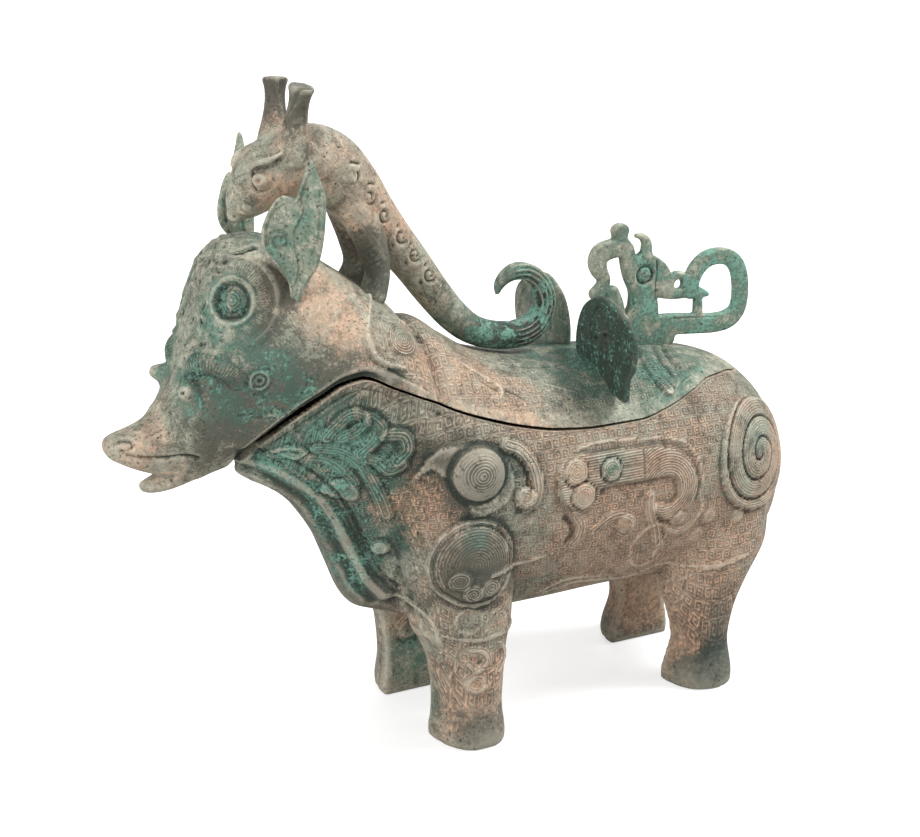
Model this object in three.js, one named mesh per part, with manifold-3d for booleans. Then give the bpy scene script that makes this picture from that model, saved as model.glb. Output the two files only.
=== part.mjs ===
// Wine vessel of cast bronze in the shape of a hoofed beast with a long upturned snout. Its head, neck and back
// lift off as one lid, which carries two leaf ears, a horned dragon with a curled tail and, over the rump, an
// elephant mask with wing ears and an openwork trunk handle.
// Millimetres, +Z up, the snout towards -X. The origin is on the ground under the middle of its length and width.
import * as THREE from "three";
import { mergeVertices } from "three/addons/utils/BufferGeometryUtils.js";
import Module from "manifold-3d";

const wasm = await Module();
wasm.setup();

// Driving dimensions. The modelled beast keeps its proportions as shares of its length, through FORM.
const LENGTH = 325; // snout tip to rump
const VESSEL_WALL = 3.8;
const LID_WALL = 3.2;
const SEAM_GAP = 0.5; // clearance between the lid's rim and the vessel's
const LEG_SPACING = 122.5; // front leg to hind leg, along X
const FRONT_LEG_X = -11.5;
const LEG_INNER = 21; // flat inner face of each leg, from the middle plane
const LEG_DEPTH = 26.5; // from that flat face outwards, at the foot
const FOOT_LENGTH = 33;
const ANKLE_LENGTH = 25; // the hind leg where it is narrowest
const BELLY_HEIGHT = 49; // ground to underside
const EAR_PLATE = 2.6;
const WING_PLATE = 3.2;
const CREST_PLATE = 5.5; // openwork creature over the rump
const TRUNK_BAR = 5.6; // thickness of the trunk handle's bar
const RELIEF = 1.5; // radius of the raised lines, half of it sunk in the surface

const FORM = LENGTH / 325;
const SIDES = [-1, 1]; // the beast's left side faces -Y

// The body, back and belly together: x, top, widest level, underside, half-width
const TORSO = [
  [-51, 118, 110, 96, 7],
  [-46, 150, 111, 78, 23],
  [-38, 174, 112, 62, 36.5],
  [-26, 186, 113, 53.5, 44.5],
  [-12, 177.5, 113, 49, 47.5],
  [4, 168, 113, 49, 48.5],
  [30, 162.5, 112, 49, 49],
  [60, 161, 111, 49.5, 49],
  [90, 158, 109, 49.5, 48.5],
  [112, 154.5, 106, 49.5, 46.5],
  [130, 149, 102, 50, 42],
  [144, 139, 98, 54, 35],
  [155, 125, 94, 62, 24.5],
  [161, 112, 91, 73, 14],
  [164.2, 96, 89, 83, 4],
];

// The neck and head: same columns
const NECK = [
  [-160.8, 150, 148.5, 146.5, 2.5],
  [-159, 152, 148, 143.5, 6],
  [-154.5, 153.5, 147, 140.5, 8.5],
  [-149, 155, 146, 137.5, 10],
  [-142, 158, 146, 134.5, 11.5],
  [-135, 166, 151, 132, 14],
  [-128.5, 180, 161, 129.5, 17],
  [-124, 196, 170, 129, 20],
  [-119, 211, 180, 130.5, 22.5],
  [-113, 222, 188, 132, 25],
  [-106, 227.5, 191, 133.5, 27],
  [-97, 229, 189, 133, 29],
  [-86, 226.5, 184, 132, 31],
  [-74, 220, 177, 131, 34],
  [-62, 212, 169, 129, 37],
  [-50, 203.5, 160, 126, 40],
  [-40, 196, 154, 124, 41],
  [-30, 183, 150, 122, 38],
];

// The pouring spout and chest below the seam: x, half-width at its ridge, height of the ridge, underside
const CHEST = [
  [-106, 3, 133.5, 129],
  [-100, 7.5, 137, 124.5],
  [-92, 10.5, 134, 120],
  [-84, 12.5, 127.5, 114],
  [-77, 13.5, 121.5, 105],
  [-70, 14.5, 113, 93.5],
  [-64, 15, 103.5, 78.5],
  [-58, 15.5, 93, 64],
  [-52, 16.5, 79, 58.5],
  [-44, 19, 66, 57],
  [-34, 26, 62, 55],
  [-18, 34, 62, 54],
];

// The seam between vessel and lid, seen from the side: x, height
const SEAM = [
  [-107, 137],
  [-98, 146.5],
  [-90, 154],
  [-80, 162],
  [-70, 169.5],
  [-62, 171.5],
  [-50, 166.5],
  [-35, 159.5],
  [-21, 152.5],
  [-7, 147],
  [7, 142.5],
  [26, 138.5],
  [46, 137],
  [66, 137],
  [82, 139.5],
  [99, 143.5],
  [112, 146],
  [124, 145.5],
  [139, 142.5],
  [170, 141],
];

// Smooth curve through one column of a table by cubic pieces whose slopes never overshoot.
function curve(rows, column) {
  const xs = rows.map((row) => row[0] * FORM);
  const ys = rows.map((row) => row[column] * FORM);
  const step = xs.slice(1).map((x, i) => (ys[i + 1] - ys[i]) / (x - xs[i]));
  const slope = xs.map((x, i) => {
    if (i === 0) return step[0];
    if (i === xs.length - 1) return step[i - 1];
    const product = step[i - 1] * step[i];
    return product <= 0 ? 0 : (2 * product) / (step[i - 1] + step[i]);
  });
  return (x) => {
    const inside = Math.min(Math.max(x, xs[0]), xs[xs.length - 1]);
    const found = xs.findIndex((end) => end > inside);
    const i = found < 0 ? xs.length - 2 : Math.max(found - 1, 0);
    const h = xs[i + 1] - xs[i];
    const t = (inside - xs[i]) / h;
    const rise = (3 - 2 * t) * t * t;
    const bend = h * t * (1 - t);
    return (
      ys[i] + (ys[i + 1] - ys[i]) * rise + bend * (slope[i] * (1 - t) - slope[i + 1] * t)
    );
  };
}

const seamHeight = curve(SEAM, 1);

// A body of superellipse sections: half-width at any x and height, and the rings of its surface.
function sections(rows, roundness) {
  const [top, level, under, half] = [1, 2, 3, 4].map((column) => curve(rows, column));
  const halfWidth = (x, z) => {
    const reach = z > level(x) ? top(x) - level(x) : level(x) - under(x);
    const share = Math.min(Math.abs(z - level(x)) / reach, 1);
    return half(x) * (1 - share ** roundness) ** (1 / roundness);
  };
  const ring = (x, count) =>
    Array.from({ length: count }, (_, i) => {
      const turn = ((i + 0.5) / count) * 2 * Math.PI;
      const across = Math.sign(Math.cos(turn)) * Math.abs(Math.cos(turn)) ** (2 / roundness);
      const along = Math.sign(Math.sin(turn)) * Math.abs(Math.sin(turn)) ** (2 / roundness);
      const reach = along > 0 ? top(x) - level(x) : level(x) - under(x);
      return new THREE.Vector3(x, half(x) * across, level(x) + reach * along);
    });
  const topHeight = (x, y) => {
    const share = Math.min(Math.abs(y) / half(x), 1);
    return level(x) + (top(x) - level(x)) * (1 - share ** roundness) ** (1 / roundness);
  };
  return { halfWidth, topHeight, ring };
}

const torso = sections(TORSO, 2.15);
const neck = sections(NECK, 2.1);

// Closed solid from a geometry, with its shared vertices merged.
function solid(geometry, matrix = new THREE.Matrix4()) {
  const bare = geometry.index ? geometry.toNonIndexed() : geometry.clone();
  bare.deleteAttribute("normal");
  bare.deleteAttribute("uv");
  const merged = mergeVertices(bare.applyMatrix4(matrix), 1e-4);
  const triVerts = new Uint32Array(merged.index.array);
  if (matrix.determinant() < 0) triVerts.reverse();
  const vertProperties = merged.attributes.position.array;
  return new wasm.Manifold(new wasm.Mesh({ numProp: 3, vertProperties, triVerts }));
}

// Closed solid through rings of equal count, each end closed by a fan about the ring's middle.
function loft(rings) {
  const count = rings[0].length;
  const points = rings.flat();
  const faces = [];
  for (let r = 0; r + 1 < rings.length; r++)
    for (let i = 0; i < count; i++) {
      const a = r * count + i;
      const b = r * count + ((i + 1) % count);
      faces.push(a, b, a + count, b, b + count, a + count);
    }
  for (const end of [0, rings.length - 1]) {
    const middle = rings[end].reduce((sum, p) => sum.add(p), new THREE.Vector3());
    points.push(middle.divideScalar(count));
    for (let i = 0; i < count; i++) {
      const a = end * count + i;
      const b = end * count + ((i + 1) % count);
      if (end === 0) faces.push(b, a, points.length - 1);
      else faces.push(a, b, points.length - 1);
    }
  }
  const vertProperties = new Float32Array(points.flatMap((p) => p.toArray()));
  const build = (order) =>
    new wasm.Manifold(
      new wasm.Mesh({ numProp: 3, vertProperties, triVerts: new Uint32Array(order) }),
    );
  const made = build(faces);
  return made.volume() > 0 ? made : build(faces.reverse());
}

// The same rings moved inwards along their own normals, by the thickness of a wall.
function inset(rings, wall) {
  const count = rings[0].length;
  return rings.map((ring, r) =>
    ring.map((point, i) => {
      const before = rings[Math.max(r - 1, 0)][i];
      const after = rings[Math.min(r + 1, rings.length - 1)][i];
      const along = after.clone().sub(before);
      const around = ring[(i + 1) % count].clone().sub(ring[(i + count - 1) % count]);
      return point.clone().addScaledVector(along.cross(around).normalize(), wall);
    }),
  );
}

// Round bar along a list of points, with its own radius at each, flattened across by a share. Of its sides one
// corner faces out to +Y, or to -Y.
function bar(points, radii, sideCount = 6, across = 1, facing = 1) {
  const rings = points.map((point, i) => {
    const before = points[Math.max(i - 1, 0)];
    const after = points[Math.min(i + 1, points.length - 1)];
    const along = after.clone().sub(before).normalize();
    const aside = new THREE.Vector3(0, facing, 0);
    aside.addScaledVector(along, -aside.dot(along));
    aside.normalize();
    const up = along.clone().cross(aside);
    const radius = Array.isArray(radii) ? radii[i] : radii;
    return Array.from({ length: sideCount }, (_, k) => {
      const turn = (k / sideCount) * 2 * Math.PI;
      return point
        .clone()
        .addScaledVector(aside, across * radius * Math.cos(turn))
        .addScaledVector(up, radius * Math.sin(turn));
    });
  });
  return loft(rings);
}

const at = (x, y, z) => new THREE.Vector3(x, y, z).multiplyScalar(FORM);
const joined = (parts) => parts.reduce((all, part) => all.add(part));
const stations = (from, to, count) =>
  Array.from({ length: count }, (_, i) => from + ((to - from) * i) / (count - 1));

// Stations that crowd towards both ends of a body, where it rounds off.
const rounded = (rows, count) => {
  const first = rows[0][0] * FORM;
  const last = rows[rows.length - 1][0] * FORM;
  return stations(0, 1, count).map(
    (t) => first + (last - first) * (0.55 * t + 0.45 * (1 - Math.cos(Math.PI * t)) * 0.5),
  );
};

// Ellipsoid bulge, such as a shoulder or an eye.
function bulge(centre, radii, around = 12) {
  const place = new THREE.Matrix4().makeTranslation(...centre.toArray());
  place.scale(radii);
  return solid(new THREE.SphereGeometry(1, around, around / 2), place);
}

// Plate cut from an outline in its own plane: u along the first axis, v along the second.
function plate(shape, thickness, origin, uAxis, vAxis) {
  const normal = uAxis.clone().cross(vAxis).normalize();
  const place = new THREE.Matrix4().makeBasis(uAxis, vAxis, normal).setPosition(origin);
  const settings = { depth: thickness, bevelEnabled: false, curveSegments: 2 };
  const geometry = new THREE.ExtrudeGeometry(shape, settings).translate(0, 0, -thickness / 2);
  return solid(geometry, place);
}

function outline(points, smooth = true) {
  const flat = points.map(([u, v]) => new THREE.Vector2(u * FORM, v * FORM));
  if (!smooth) return new THREE.Shape(flat);
  const start = flat[0];
  const shape = new THREE.Shape().moveTo(start.x, start.y);
  shape.splineThru([...flat.slice(1), start]);
  return shape;
}

// The chest's sections hang from the neck's own width at the seam, so that lid and spout meet flush.
const chestRidge = curve(CHEST, 1);
const chestRidgeHeight = curve(CHEST, 2);
const chestUnder = curve(CHEST, 3);

function chestWidth(x, z) {
  const fade = Math.max(x / FORM + 38, 0) / 20;
  const edge = neck.halfWidth(x, seamHeight(x)) * (1 - 0.12 * fade ** 2);
  const low = chestRidgeHeight(x);
  const ridge = Math.min(chestRidge(x), edge);
  if (z < low) {
    const drop = Math.min((low - z) / (low - chestUnder(x)), 1);
    return ridge * Math.sqrt(1 - drop * drop);
  }
  const share = Math.min((z - low) / (seamHeight(x) - low), 1);
  return ridge + (edge - ridge) * share ** 0.9;
}

function chestRing(x) {
  const seam = seamHeight(x);
  const low = chestRidgeHeight(x);
  const under = chestUnder(x);
  const above = seam + 2 * VESSEL_WALL;
  const levels = [above, seam, seam * 0.6 + low * 0.4, seam * 0.25 + low * 0.75, low];
  levels.push(low * 0.75 + under * 0.25, low * 0.35 + under * 0.65, low * 0.08 + under * 0.92);
  const near = levels.map((z) => new THREE.Vector3(x, -chestWidth(x, z), z));
  const far = near.map((p) => new THREE.Vector3(p.x, -p.y, p.z)).reverse();
  return [...near, new THREE.Vector3(x, 0, under), ...far];
}

// Each leg is a D in plan, flat inside, with a slightly spread foot. A row: height, front, back, reach outwards.
function leg(side, x, rows) {
  const rings = rows.map(([z, front, back, reach]) =>
    Array.from({ length: 10 }, (_, i) => {
      const turn = (i / 9) * Math.PI;
      const middle = (front + back) / 2;
      const half = (back - front) / 2;
      const along = Math.sign(Math.cos(turn)) * Math.abs(Math.cos(turn)) ** 0.86;
      const out = Math.sin(turn) ** 0.86;
      return new THREE.Vector3(x + middle - half * along, side * (LEG_INNER + reach * out), z);
    }),
  );
  return loft(rings);
}

const halfFoot = FOOT_LENGTH / 2;
const halfAnkle = ANKLE_LENGTH / 2;
const FRONT_LEG = [
  [0, -halfFoot, halfFoot, LEG_DEPTH],
  [0.07 * BELLY_HEIGHT, -halfFoot, halfFoot, LEG_DEPTH],
  [0.34 * BELLY_HEIGHT, 1.4 - halfFoot, halfFoot - 1.4, LEG_DEPTH - 1.5],
  [0.72 * BELLY_HEIGHT, -halfFoot, halfFoot - 0.6, LEG_DEPTH - 0.5],
  [0.95 * BELLY_HEIGHT, -4 - halfFoot, halfFoot + 3, LEG_DEPTH],
  [1.15 * BELLY_HEIGHT, -9 - halfFoot, halfFoot + 8, LEG_DEPTH + 1],
  [1.6 * BELLY_HEIGHT, -8.5 - halfFoot, halfFoot + 5, LEG_DEPTH + 2],
  [2.0 * BELLY_HEIGHT, -3 - halfFoot, halfFoot, LEG_DEPTH],
];
const HIND_LEG = [
  [0, -halfFoot, halfFoot, LEG_DEPTH - 3.5],
  [0.08 * BELLY_HEIGHT, -halfFoot, halfFoot, LEG_DEPTH - 3.5],
  [0.45 * BELLY_HEIGHT, -halfAnkle + 0.5, halfAnkle + 1.5, LEG_DEPTH - 6],
  [0.75 * BELLY_HEIGHT, -halfAnkle - 3, halfAnkle + 5, LEG_DEPTH - 5.5],
  [1.0 * BELLY_HEIGHT, -halfAnkle - 8, halfAnkle + 12, LEG_DEPTH - 5],
  [1.4 * BELLY_HEIGHT, -halfAnkle - 12, halfAnkle + 23, LEG_DEPTH - 4],
  [1.9 * BELLY_HEIGHT, -halfAnkle - 8, halfAnkle + 24, LEG_DEPTH - 5],
];
const HIND_LEG_X = FRONT_LEG_X + LEG_SPACING;

// Outermost surface of the flank at a place seen from the side, where the relief lies.
const SHOULDER = { centre: at(-15, 28, 92), radii: at(28, 21.5, 33) };
function flankWidth(x, z) {
  const swell = ({ centre, radii }) => {
    const share = 1 - ((x - centre.x) / radii.x) ** 2 - ((z - centre.z) / radii.z) ** 2;
    return share > 0 ? centre.y + radii.y * Math.sqrt(share) : 0;
  };
  return Math.max(torso.halfWidth(x, z), swell(SHOULDER));
}

// Raised line on the flank through points [x, z].
function flankLine(side, points, radius = RELIEF) {
  const path = points.map(([x, z]) =>
    new THREE.Vector3(x * FORM, side * flankWidth(x * FORM, z * FORM), z * FORM),
  );
  const radii = path.map((_, i) => (i === 0 || i === path.length - 1 ? 0.5 * radius : radius));
  return bar(path, radii, 3, 1, side);
}

// Spiral seen from the side, from its outer end inwards.
function spiral(x, z, outer, inner, start, turns, count) {
  return stations(0, 1, count).map((t) => {
    const radius = outer + (inner - outer) * t;
    const angle = start + turns * 2 * Math.PI * t;
    return [x + radius * Math.cos(angle), z + radius * Math.sin(angle)];
  });
}

// Dome on the flank, facing outwards.
function dome(side, x, z, radius, height) {
  const turns = stations(0, 0.5 * Math.PI, 4);
  const rise = turns.slice(0, 3).map((turn) => [radius * Math.cos(turn), height * Math.sin(turn)]);
  const sunk = 4;
  const profile = [[0, -sunk], [radius, -sunk], ...rise, [0, height]];
  const points = profile.map(([r, h]) => new THREE.Vector2(r * FORM, h * FORM));
  const place = new THREE.Matrix4().makeRotationX(side < 0 ? Math.PI : 0);
  place.setPosition(x * FORM, side * flankWidth(x * FORM, z * FORM), z * FORM);
  return solid(new THREE.LatheGeometry(points, 10), place);
}

function flankRelief(side) {
  return joined([
    dome(side, -17, 128, 11.5, 7),
    flankLine(side, [...spiral(-17, 128, 15, 15, 1.9, -0.42, 8), [3, 112], [8, 116], [6, 121], [1, 120]]),
    flankLine(side, spiral(-19, 90, 17, 4, 0.6, 1.9, 16), 2.2),
    flankLine(side, [
      [27, 119],
      [33, 122],
      [35, 116],
      [28, 111],
      [21, 114],
      [20, 123],
      [28, 129],
      [46, 128],
      [70, 127],
      [86, 126],
      [96, 119],
      [97, 107],
      [88, 100],
      [79, 104],
      [80, 113],
      [87, 113],
    ]),
    flankLine(side, [
      [24, 105],
      [34, 101],
      [43, 106],
      [55, 112],
      [68, 112],
      [73, 106],
      [70, 96],
      [60, 90],
      [52, 94],
      [56, 100],
    ]),
    flankLine(side, [
      [79, 92],
      [92, 90],
      [97, 83],
      [91, 77],
      [84, 81],
      [88, 86],
    ]),
    flankLine(side, spiral(125, 118, 18, 4, 2.2, 1.6, 14), 2),
  ]);
}

// The whole outer form, before it is parted along the seam.
const torsoRings = rounded(TORSO, 15).map((x) => torso.ring(x, 18));
const neckRings = rounded(NECK, 17).map((x) => neck.ring(x, 14));
const chestRings = rounded(CHEST, 10).map(chestRing);

// The hollows follow the same form with fewer rings, a wall's thickness inside it.
const torsoInside = rounded(TORSO, 10).map((x) => torso.ring(x, 12));
const neckInside = rounded(NECK, 12).map((x) => neck.ring(x, 10));
const chestInside = rounded(CHEST, 6).map(chestRing);
const HEAD_HOLLOW_FROM = 4; // the neck's ring where the head's hollow begins

// Solid that fills everything above the seam, or below it, with its face moved by a shift.
function besideSeam(sign, shift, depth = 400) {
  const edge = stations(SEAM[0][0] * FORM, SEAM[SEAM.length - 1][0] * FORM, 24);
  const line = edge.map((x) => [x, seamHeight(x) + shift]);
  const far = [...line].reverse().map(([x, z]) => [x, z + sign * depth]);
  const shape = new THREE.Shape([...line, ...far].map(([x, z]) => new THREE.Vector2(x, z)));
  const settings = { depth: 400, bevelEnabled: false };
  const geometry = new THREE.ExtrudeGeometry(shape, settings).translate(0, 0, -200);
  return solid(geometry, new THREE.Matrix4().makeRotationX(Math.PI / 2));
}

function makeVessel() {
  const shell = joined([
    loft(torsoRings).subtract(besideSeam(1, 0)),
    loft(chestRings).subtract(besideSeam(1, 0)),
    ...SIDES.flatMap((side) => [
      leg(side, FRONT_LEG_X, FRONT_LEG),
      leg(side, HIND_LEG_X, HIND_LEG),
      bulge(
        SHOULDER.centre.clone().setY(side * SHOULDER.centre.y),
        SHOULDER.radii,
      ),
      flankRelief(side),
    ]),
  ]);
  const hollow = joined([
    loft(inset(torsoInside, VESSEL_WALL)),
    loft(inset(chestInside, VESSEL_WALL)),
  ]);
  return shell.subtract(hollow);
}

// Lower jaw, hanging open under the lip.
const JAW = [
  [-145.5, 129, 2.5],
  [-143, 129.5, 5],
  [-137, 130.5, 7],
  [-128, 133, 8.5],
  [-118, 137, 9.5],
];

// Dragon: its spine from the muzzle over the arched back to the curled tail: x, height, radius
const DRAGON = [
  [-101.5, 234, 4],
  [-98, 238.5, 8],
  [-92.5, 245, 11.5],
  [-85, 251.5, 14],
  [-74, 256, 15],
  [-62, 253, 15],
  [-51, 242, 13.5],
  [-42, 231, 11.2],
  [-33, 220, 9.6],
  [-24, 209, 8.6],
  [-14, 195.5, 7.8],
  [-4, 183.5, 7.2],
  [6, 175.5, 6.6],
  [18, 171.5, 6.3],
  [30, 171, 6.3],
  [38.5, 175.5, 5.6],
  [42, 184, 5],
  [39.5, 192.5, 4.6],
  [33, 198, 4.4],
  [25, 198.5, 4],
  [19.5, 194.5, 3],
  [18, 190, 1.6],
];

// Ear leaf in its own plane, about its middle: outwards along the leaf, upwards
const EAR = [
  [-2.4, -34],
  [5.5, -19.5],
  [10.9, -6],
  [12.8, 6],
  [12, 16],
  [7, 27.6],
  [2.5, 20],
  [-1.5, 12.5],
  [-5, 12.2],
  [-8.8, 14.3],
  [-12.4, 6],
  [-13.6, -2],
  [-11.5, -10],
  [-5.5, -19],
];

// Wing ear of the elephant mask, across the lid: distance from the middle plane, height
const WING = [
  [14, 160],
  [12, 173],
  [14.5, 186],
  [25, 189.5],
  [38, 186],
  [48, 180],
  [51.5, 173],
  [50, 160],
  [44, 146],
  [28, 150],
];

// Openwork creature seen from the side, with the trunk running out under it to the rear
const CREATURE = [
  [60, 157],
  [62, 174],
  [66, 182],
  [69, 186],
  [72, 181],
  [76, 178],
  [79, 178],
  [77, 184],
  [75, 194],
  [71, 198],
  [70, 191],
  [67, 188],
  [65, 193],
  [64, 200],
  [67, 205.5],
  [73, 206],
  [72.5, 211],
  [76, 214],
  [80, 212],
  [80.5, 205],
  [83, 202.5],
  [86, 204.5],
  [85, 209],
  [90, 208],
  [91.5, 202],
  [97, 199],
  [101, 193],
  [107, 191],
  [111, 187],
  [109, 182],
  [102, 181.5],
  [97, 184],
  [95.5, 179],
  [97, 174],
  [114, 173],
  [114, 162],
  [96, 155],
];
const TRUNK_LOOP = [
  [94, 167],
  [112, 166.5],
  [126, 165],
  [138, 163],
  [146, 167],
  [148, 178],
  [145, 190],
  [137, 195.5],
  [127, 195],
  [120, 190],
  [116.5, 181],
  [113.5, 168],
];

function ear(side) {
  const across = new THREE.Vector3(0.805, side * 0.593, 0);
  const upright = new THREE.Vector3(-0.06, side * 0.08, 1).normalize();
  return plate(outline(EAR), EAR_PLATE, at(-88, side * 29, 235), across, upright);
}

function horn(side) {
  const profile = [
    [0, 0],
    [5.5, 0],
    [4.2, 7],
    [3.4, 14],
    [3.8, 18],
    [5.2, 22],
    [0, 23],
  ].map(([r, h]) => new THREE.Vector2(r * FORM, h * FORM));
  const lean = new THREE.Vector3(0.12, side * 0.2, 1).normalize();
  const turn = new THREE.Quaternion().setFromUnitVectors(new THREE.Vector3(0, 1, 0), lean);
  const place = new THREE.Matrix4().makeRotationFromQuaternion(turn);
  place.setPosition(at(-79.5, side * 9, 266.5));
  return solid(new THREE.LatheGeometry(profile, 8), place);
}

function dragon() {
  const path = DRAGON.map(([x, z]) => at(x, 0, z));
  const legs = SIDES.map((side) =>
    bar(
      [at(-50, side * 6, 232), at(-46, side * 9, 220), at(-44, side * 10.5, 208), at(-47, side * 11, 199)],
      [8, 6.5, 5.2, 6].map((radius) => radius * FORM),
    ),
  );
  return joined([
    bar(path, DRAGON.map((row) => row[2] * FORM), 8),
    ...SIDES.map(horn),
    ...legs,
  ]);
}

// Eyes, brows, the coiled mounds beside the brow and the rosettes of the cheeks.
function faceRelief(side) {
  const mound = bulge(at(-99, side * 14, 206), at(17.5, 14, 19));
  const eye = bulge(at(-126.5, side * 13, 170), at(5.5, 5, 5.5), 8);
  const cheek = bulge(at(-103, side * 22, 174), at(6, 5, 6), 8);
  const coil = stations(0, 1, 12).map((t) => {
    const angle = t * 2 * Math.PI;
    const across = 10 * Math.cos(angle);
    return at(-109.5 + 0.755 * across, side * (21.5 + 0.655 * across), 206 + 14 * Math.sin(angle));
  });
  return joined([mound, eye, cheek, bar(coil.slice(0, 11), 2.2 * FORM, 4)]);
}

// Raised line on the lid's side through points [x, z], such as the collar and the plain border's edge.
function lidLine(side, points) {
  const path = points.map(([x, z]) => {
    const width = Math.max(torso.halfWidth(x * FORM, z * FORM), neck.halfWidth(x * FORM, z * FORM));
    return new THREE.Vector3(x * FORM, side * width, z * FORM);
  });
  return bar(path, RELIEF, 3, 1, side);
}

// Raised line on the lid's top through points [x, y], such as the brows of the elephant mask.
function browLine(side, points, radius) {
  const path = points.map(([x, y]) =>
    new THREE.Vector3(x * FORM, side * y * FORM, torso.topHeight(x * FORM, y * FORM)),
  );
  return bar(path, radius * FORM, 4);
}

function lidRelief(side) {
  const eye = at(92, side * 23, 0).setZ(torso.topHeight(92 * FORM, 23 * FORM) - FORM);
  return joined([
    lidLine(side, [
      [-47, 200],
      [-44, 190],
      [-41, 180],
      [-35, 171],
      [-24, 165],
      [-8, 158.5],
      [10, 153],
      [34, 149],
      [60, 147.5],
    ]),
    browLine(side, [[66, 9], [76, 14], [84, 22], [89, 32]], 2.2),
    browLine(side, [[78, 8], [88, 12], [100, 18], [108, 24]], 2.2),
    bulge(eye, at(5.5, 4.5, 3.5), 8),
  ]);
}

function crest() {
  const settings = [new THREE.Vector3(0, 0, 0), new THREE.Vector3(1, 0, 0), new THREE.Vector3(0, 0, 1)];
  const creature = plate(outline(CREATURE, false), CREST_PLATE, ...settings);
  const root = [...TRUNK_LOOP.slice(0, 4)].map(([x, z]) => at(x, 0, z - 1.5));
  return joined([
    creature,
    bar(TRUNK_LOOP.map(([x, z]) => at(x, 0, z)), 0.6 * TRUNK_BAR, 6),
    bar(root, 0.75 * TRUNK_BAR, 6),
  ]);
}

function wings() {
  const across = new THREE.Vector3(0, 1, 0);
  const upright = new THREE.Vector3(0, 0, 1);
  const middle = at(57, 0, 0);
  return joined(
    SIDES.map((side) =>
      plate(
        outline(WING.map(([y, z]) => [side * y, z])),
        WING_PLATE,
        middle,
        across,
        upright,
      ),
    ),
  );
}

// The lid is a shell that rests on the vessel's rim.
function makeLid() {
  const outer = joined([loft(torsoRings), loft(neckRings)]).subtract(besideSeam(-1, SEAM_GAP));
  const hollow = joined([
    loft(inset(torsoInside, LID_WALL)),
    loft(inset(neckInside.slice(HEAD_HOLLOW_FROM), LID_WALL)),
  ]);
  return joined([
    outer,
    bar(JAW.map(([x, z]) => at(x, 0, z)), JAW.map((row) => row[2] * 0.55 * FORM), 6, 1.8),
    ...SIDES.flatMap((side) => [ear(side), faceRelief(side), lidRelief(side)]),
    dragon(),
    wings(),
    crest(),
  ]).subtract(hollow);
}

function mesh(name, made, colour, roughness, metalness) {
  const found = made.getMesh();
  const geometry = new THREE.BufferGeometry();
  geometry.setAttribute("position", new THREE.BufferAttribute(found.vertProperties, 3));
  geometry.setIndex(new THREE.BufferAttribute(found.triVerts, 1));
  geometry.computeVertexNormals();
  const material = new THREE.MeshStandardMaterial({ color: colour, roughness, metalness });
  const result = new THREE.Mesh(geometry, material);
  result.name = name;
  return result;
}

// The tables count x from behind the front legs, and the finished beast stands with its middle over the origin.
const beast = new THREE.Group();
beast.position.x = (-(NECK[0][0] + TORSO[TORSO.length - 1][0]) / 2) * FORM;
beast.add(mesh("vessel", makeVessel(), 0x7d8070, 0.75, 0.3));
beast.add(mesh("lid", makeLid(), 0x74796a, 0.75, 0.3));

export default beast;
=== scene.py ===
# %% [markdown]
# A bronze wine vessel in the shape of a hoofed beast, made as a lesson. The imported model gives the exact
# place and size of its two pieces, the vessel and the lid, and this file gives them their cast surface:
# relief, engraved spirals, and a patina of grey-green, verdigris and earth.

import bpy
import numpy as np
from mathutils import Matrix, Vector


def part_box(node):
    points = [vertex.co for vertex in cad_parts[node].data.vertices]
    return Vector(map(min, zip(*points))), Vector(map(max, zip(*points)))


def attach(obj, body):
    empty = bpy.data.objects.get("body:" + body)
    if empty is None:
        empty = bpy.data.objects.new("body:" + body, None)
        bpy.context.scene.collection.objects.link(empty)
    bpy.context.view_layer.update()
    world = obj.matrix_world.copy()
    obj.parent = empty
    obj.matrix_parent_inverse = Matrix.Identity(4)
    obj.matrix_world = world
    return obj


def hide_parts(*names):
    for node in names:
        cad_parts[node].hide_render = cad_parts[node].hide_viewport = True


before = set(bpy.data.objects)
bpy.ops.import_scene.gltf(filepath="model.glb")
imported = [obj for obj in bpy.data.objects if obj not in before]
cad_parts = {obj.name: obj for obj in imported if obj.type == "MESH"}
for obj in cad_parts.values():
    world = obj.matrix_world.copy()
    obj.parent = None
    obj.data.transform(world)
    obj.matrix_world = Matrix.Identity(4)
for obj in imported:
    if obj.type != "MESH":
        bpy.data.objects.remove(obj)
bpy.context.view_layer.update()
print("pieces:", sorted(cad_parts))

# %% [markdown]
# Everything is drawn in millimetres with x counted from behind the front legs, because those numbers are
# easy to read. One function moves a finished drawing into the frame, which is in metres and has its
# origin under the middle of the beast.

# %% Drawing units
MM = 0.001
MIDDLE_X = 1.7  # the frame's origin on the drawing's x axis


def in_frame(points):
    """Drawing millimetres to the frame's metres: subtract the middle, then scale."""
    return (np.asarray(points, float) - [MIDDLE_X, 0.0, 0.0]) * MM


low, high = (np.array(corner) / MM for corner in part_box("vessel"))
print("vessel from", low.round(1), "to", high.round(1), "mm")

# %% [markdown]
# The forms are tables of sections. A cubic that never overshoots its rows joins them, so a bulge in the
# drawing stays a bulge and no ripple appears between two rows.

# %% Smooth columns


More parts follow.
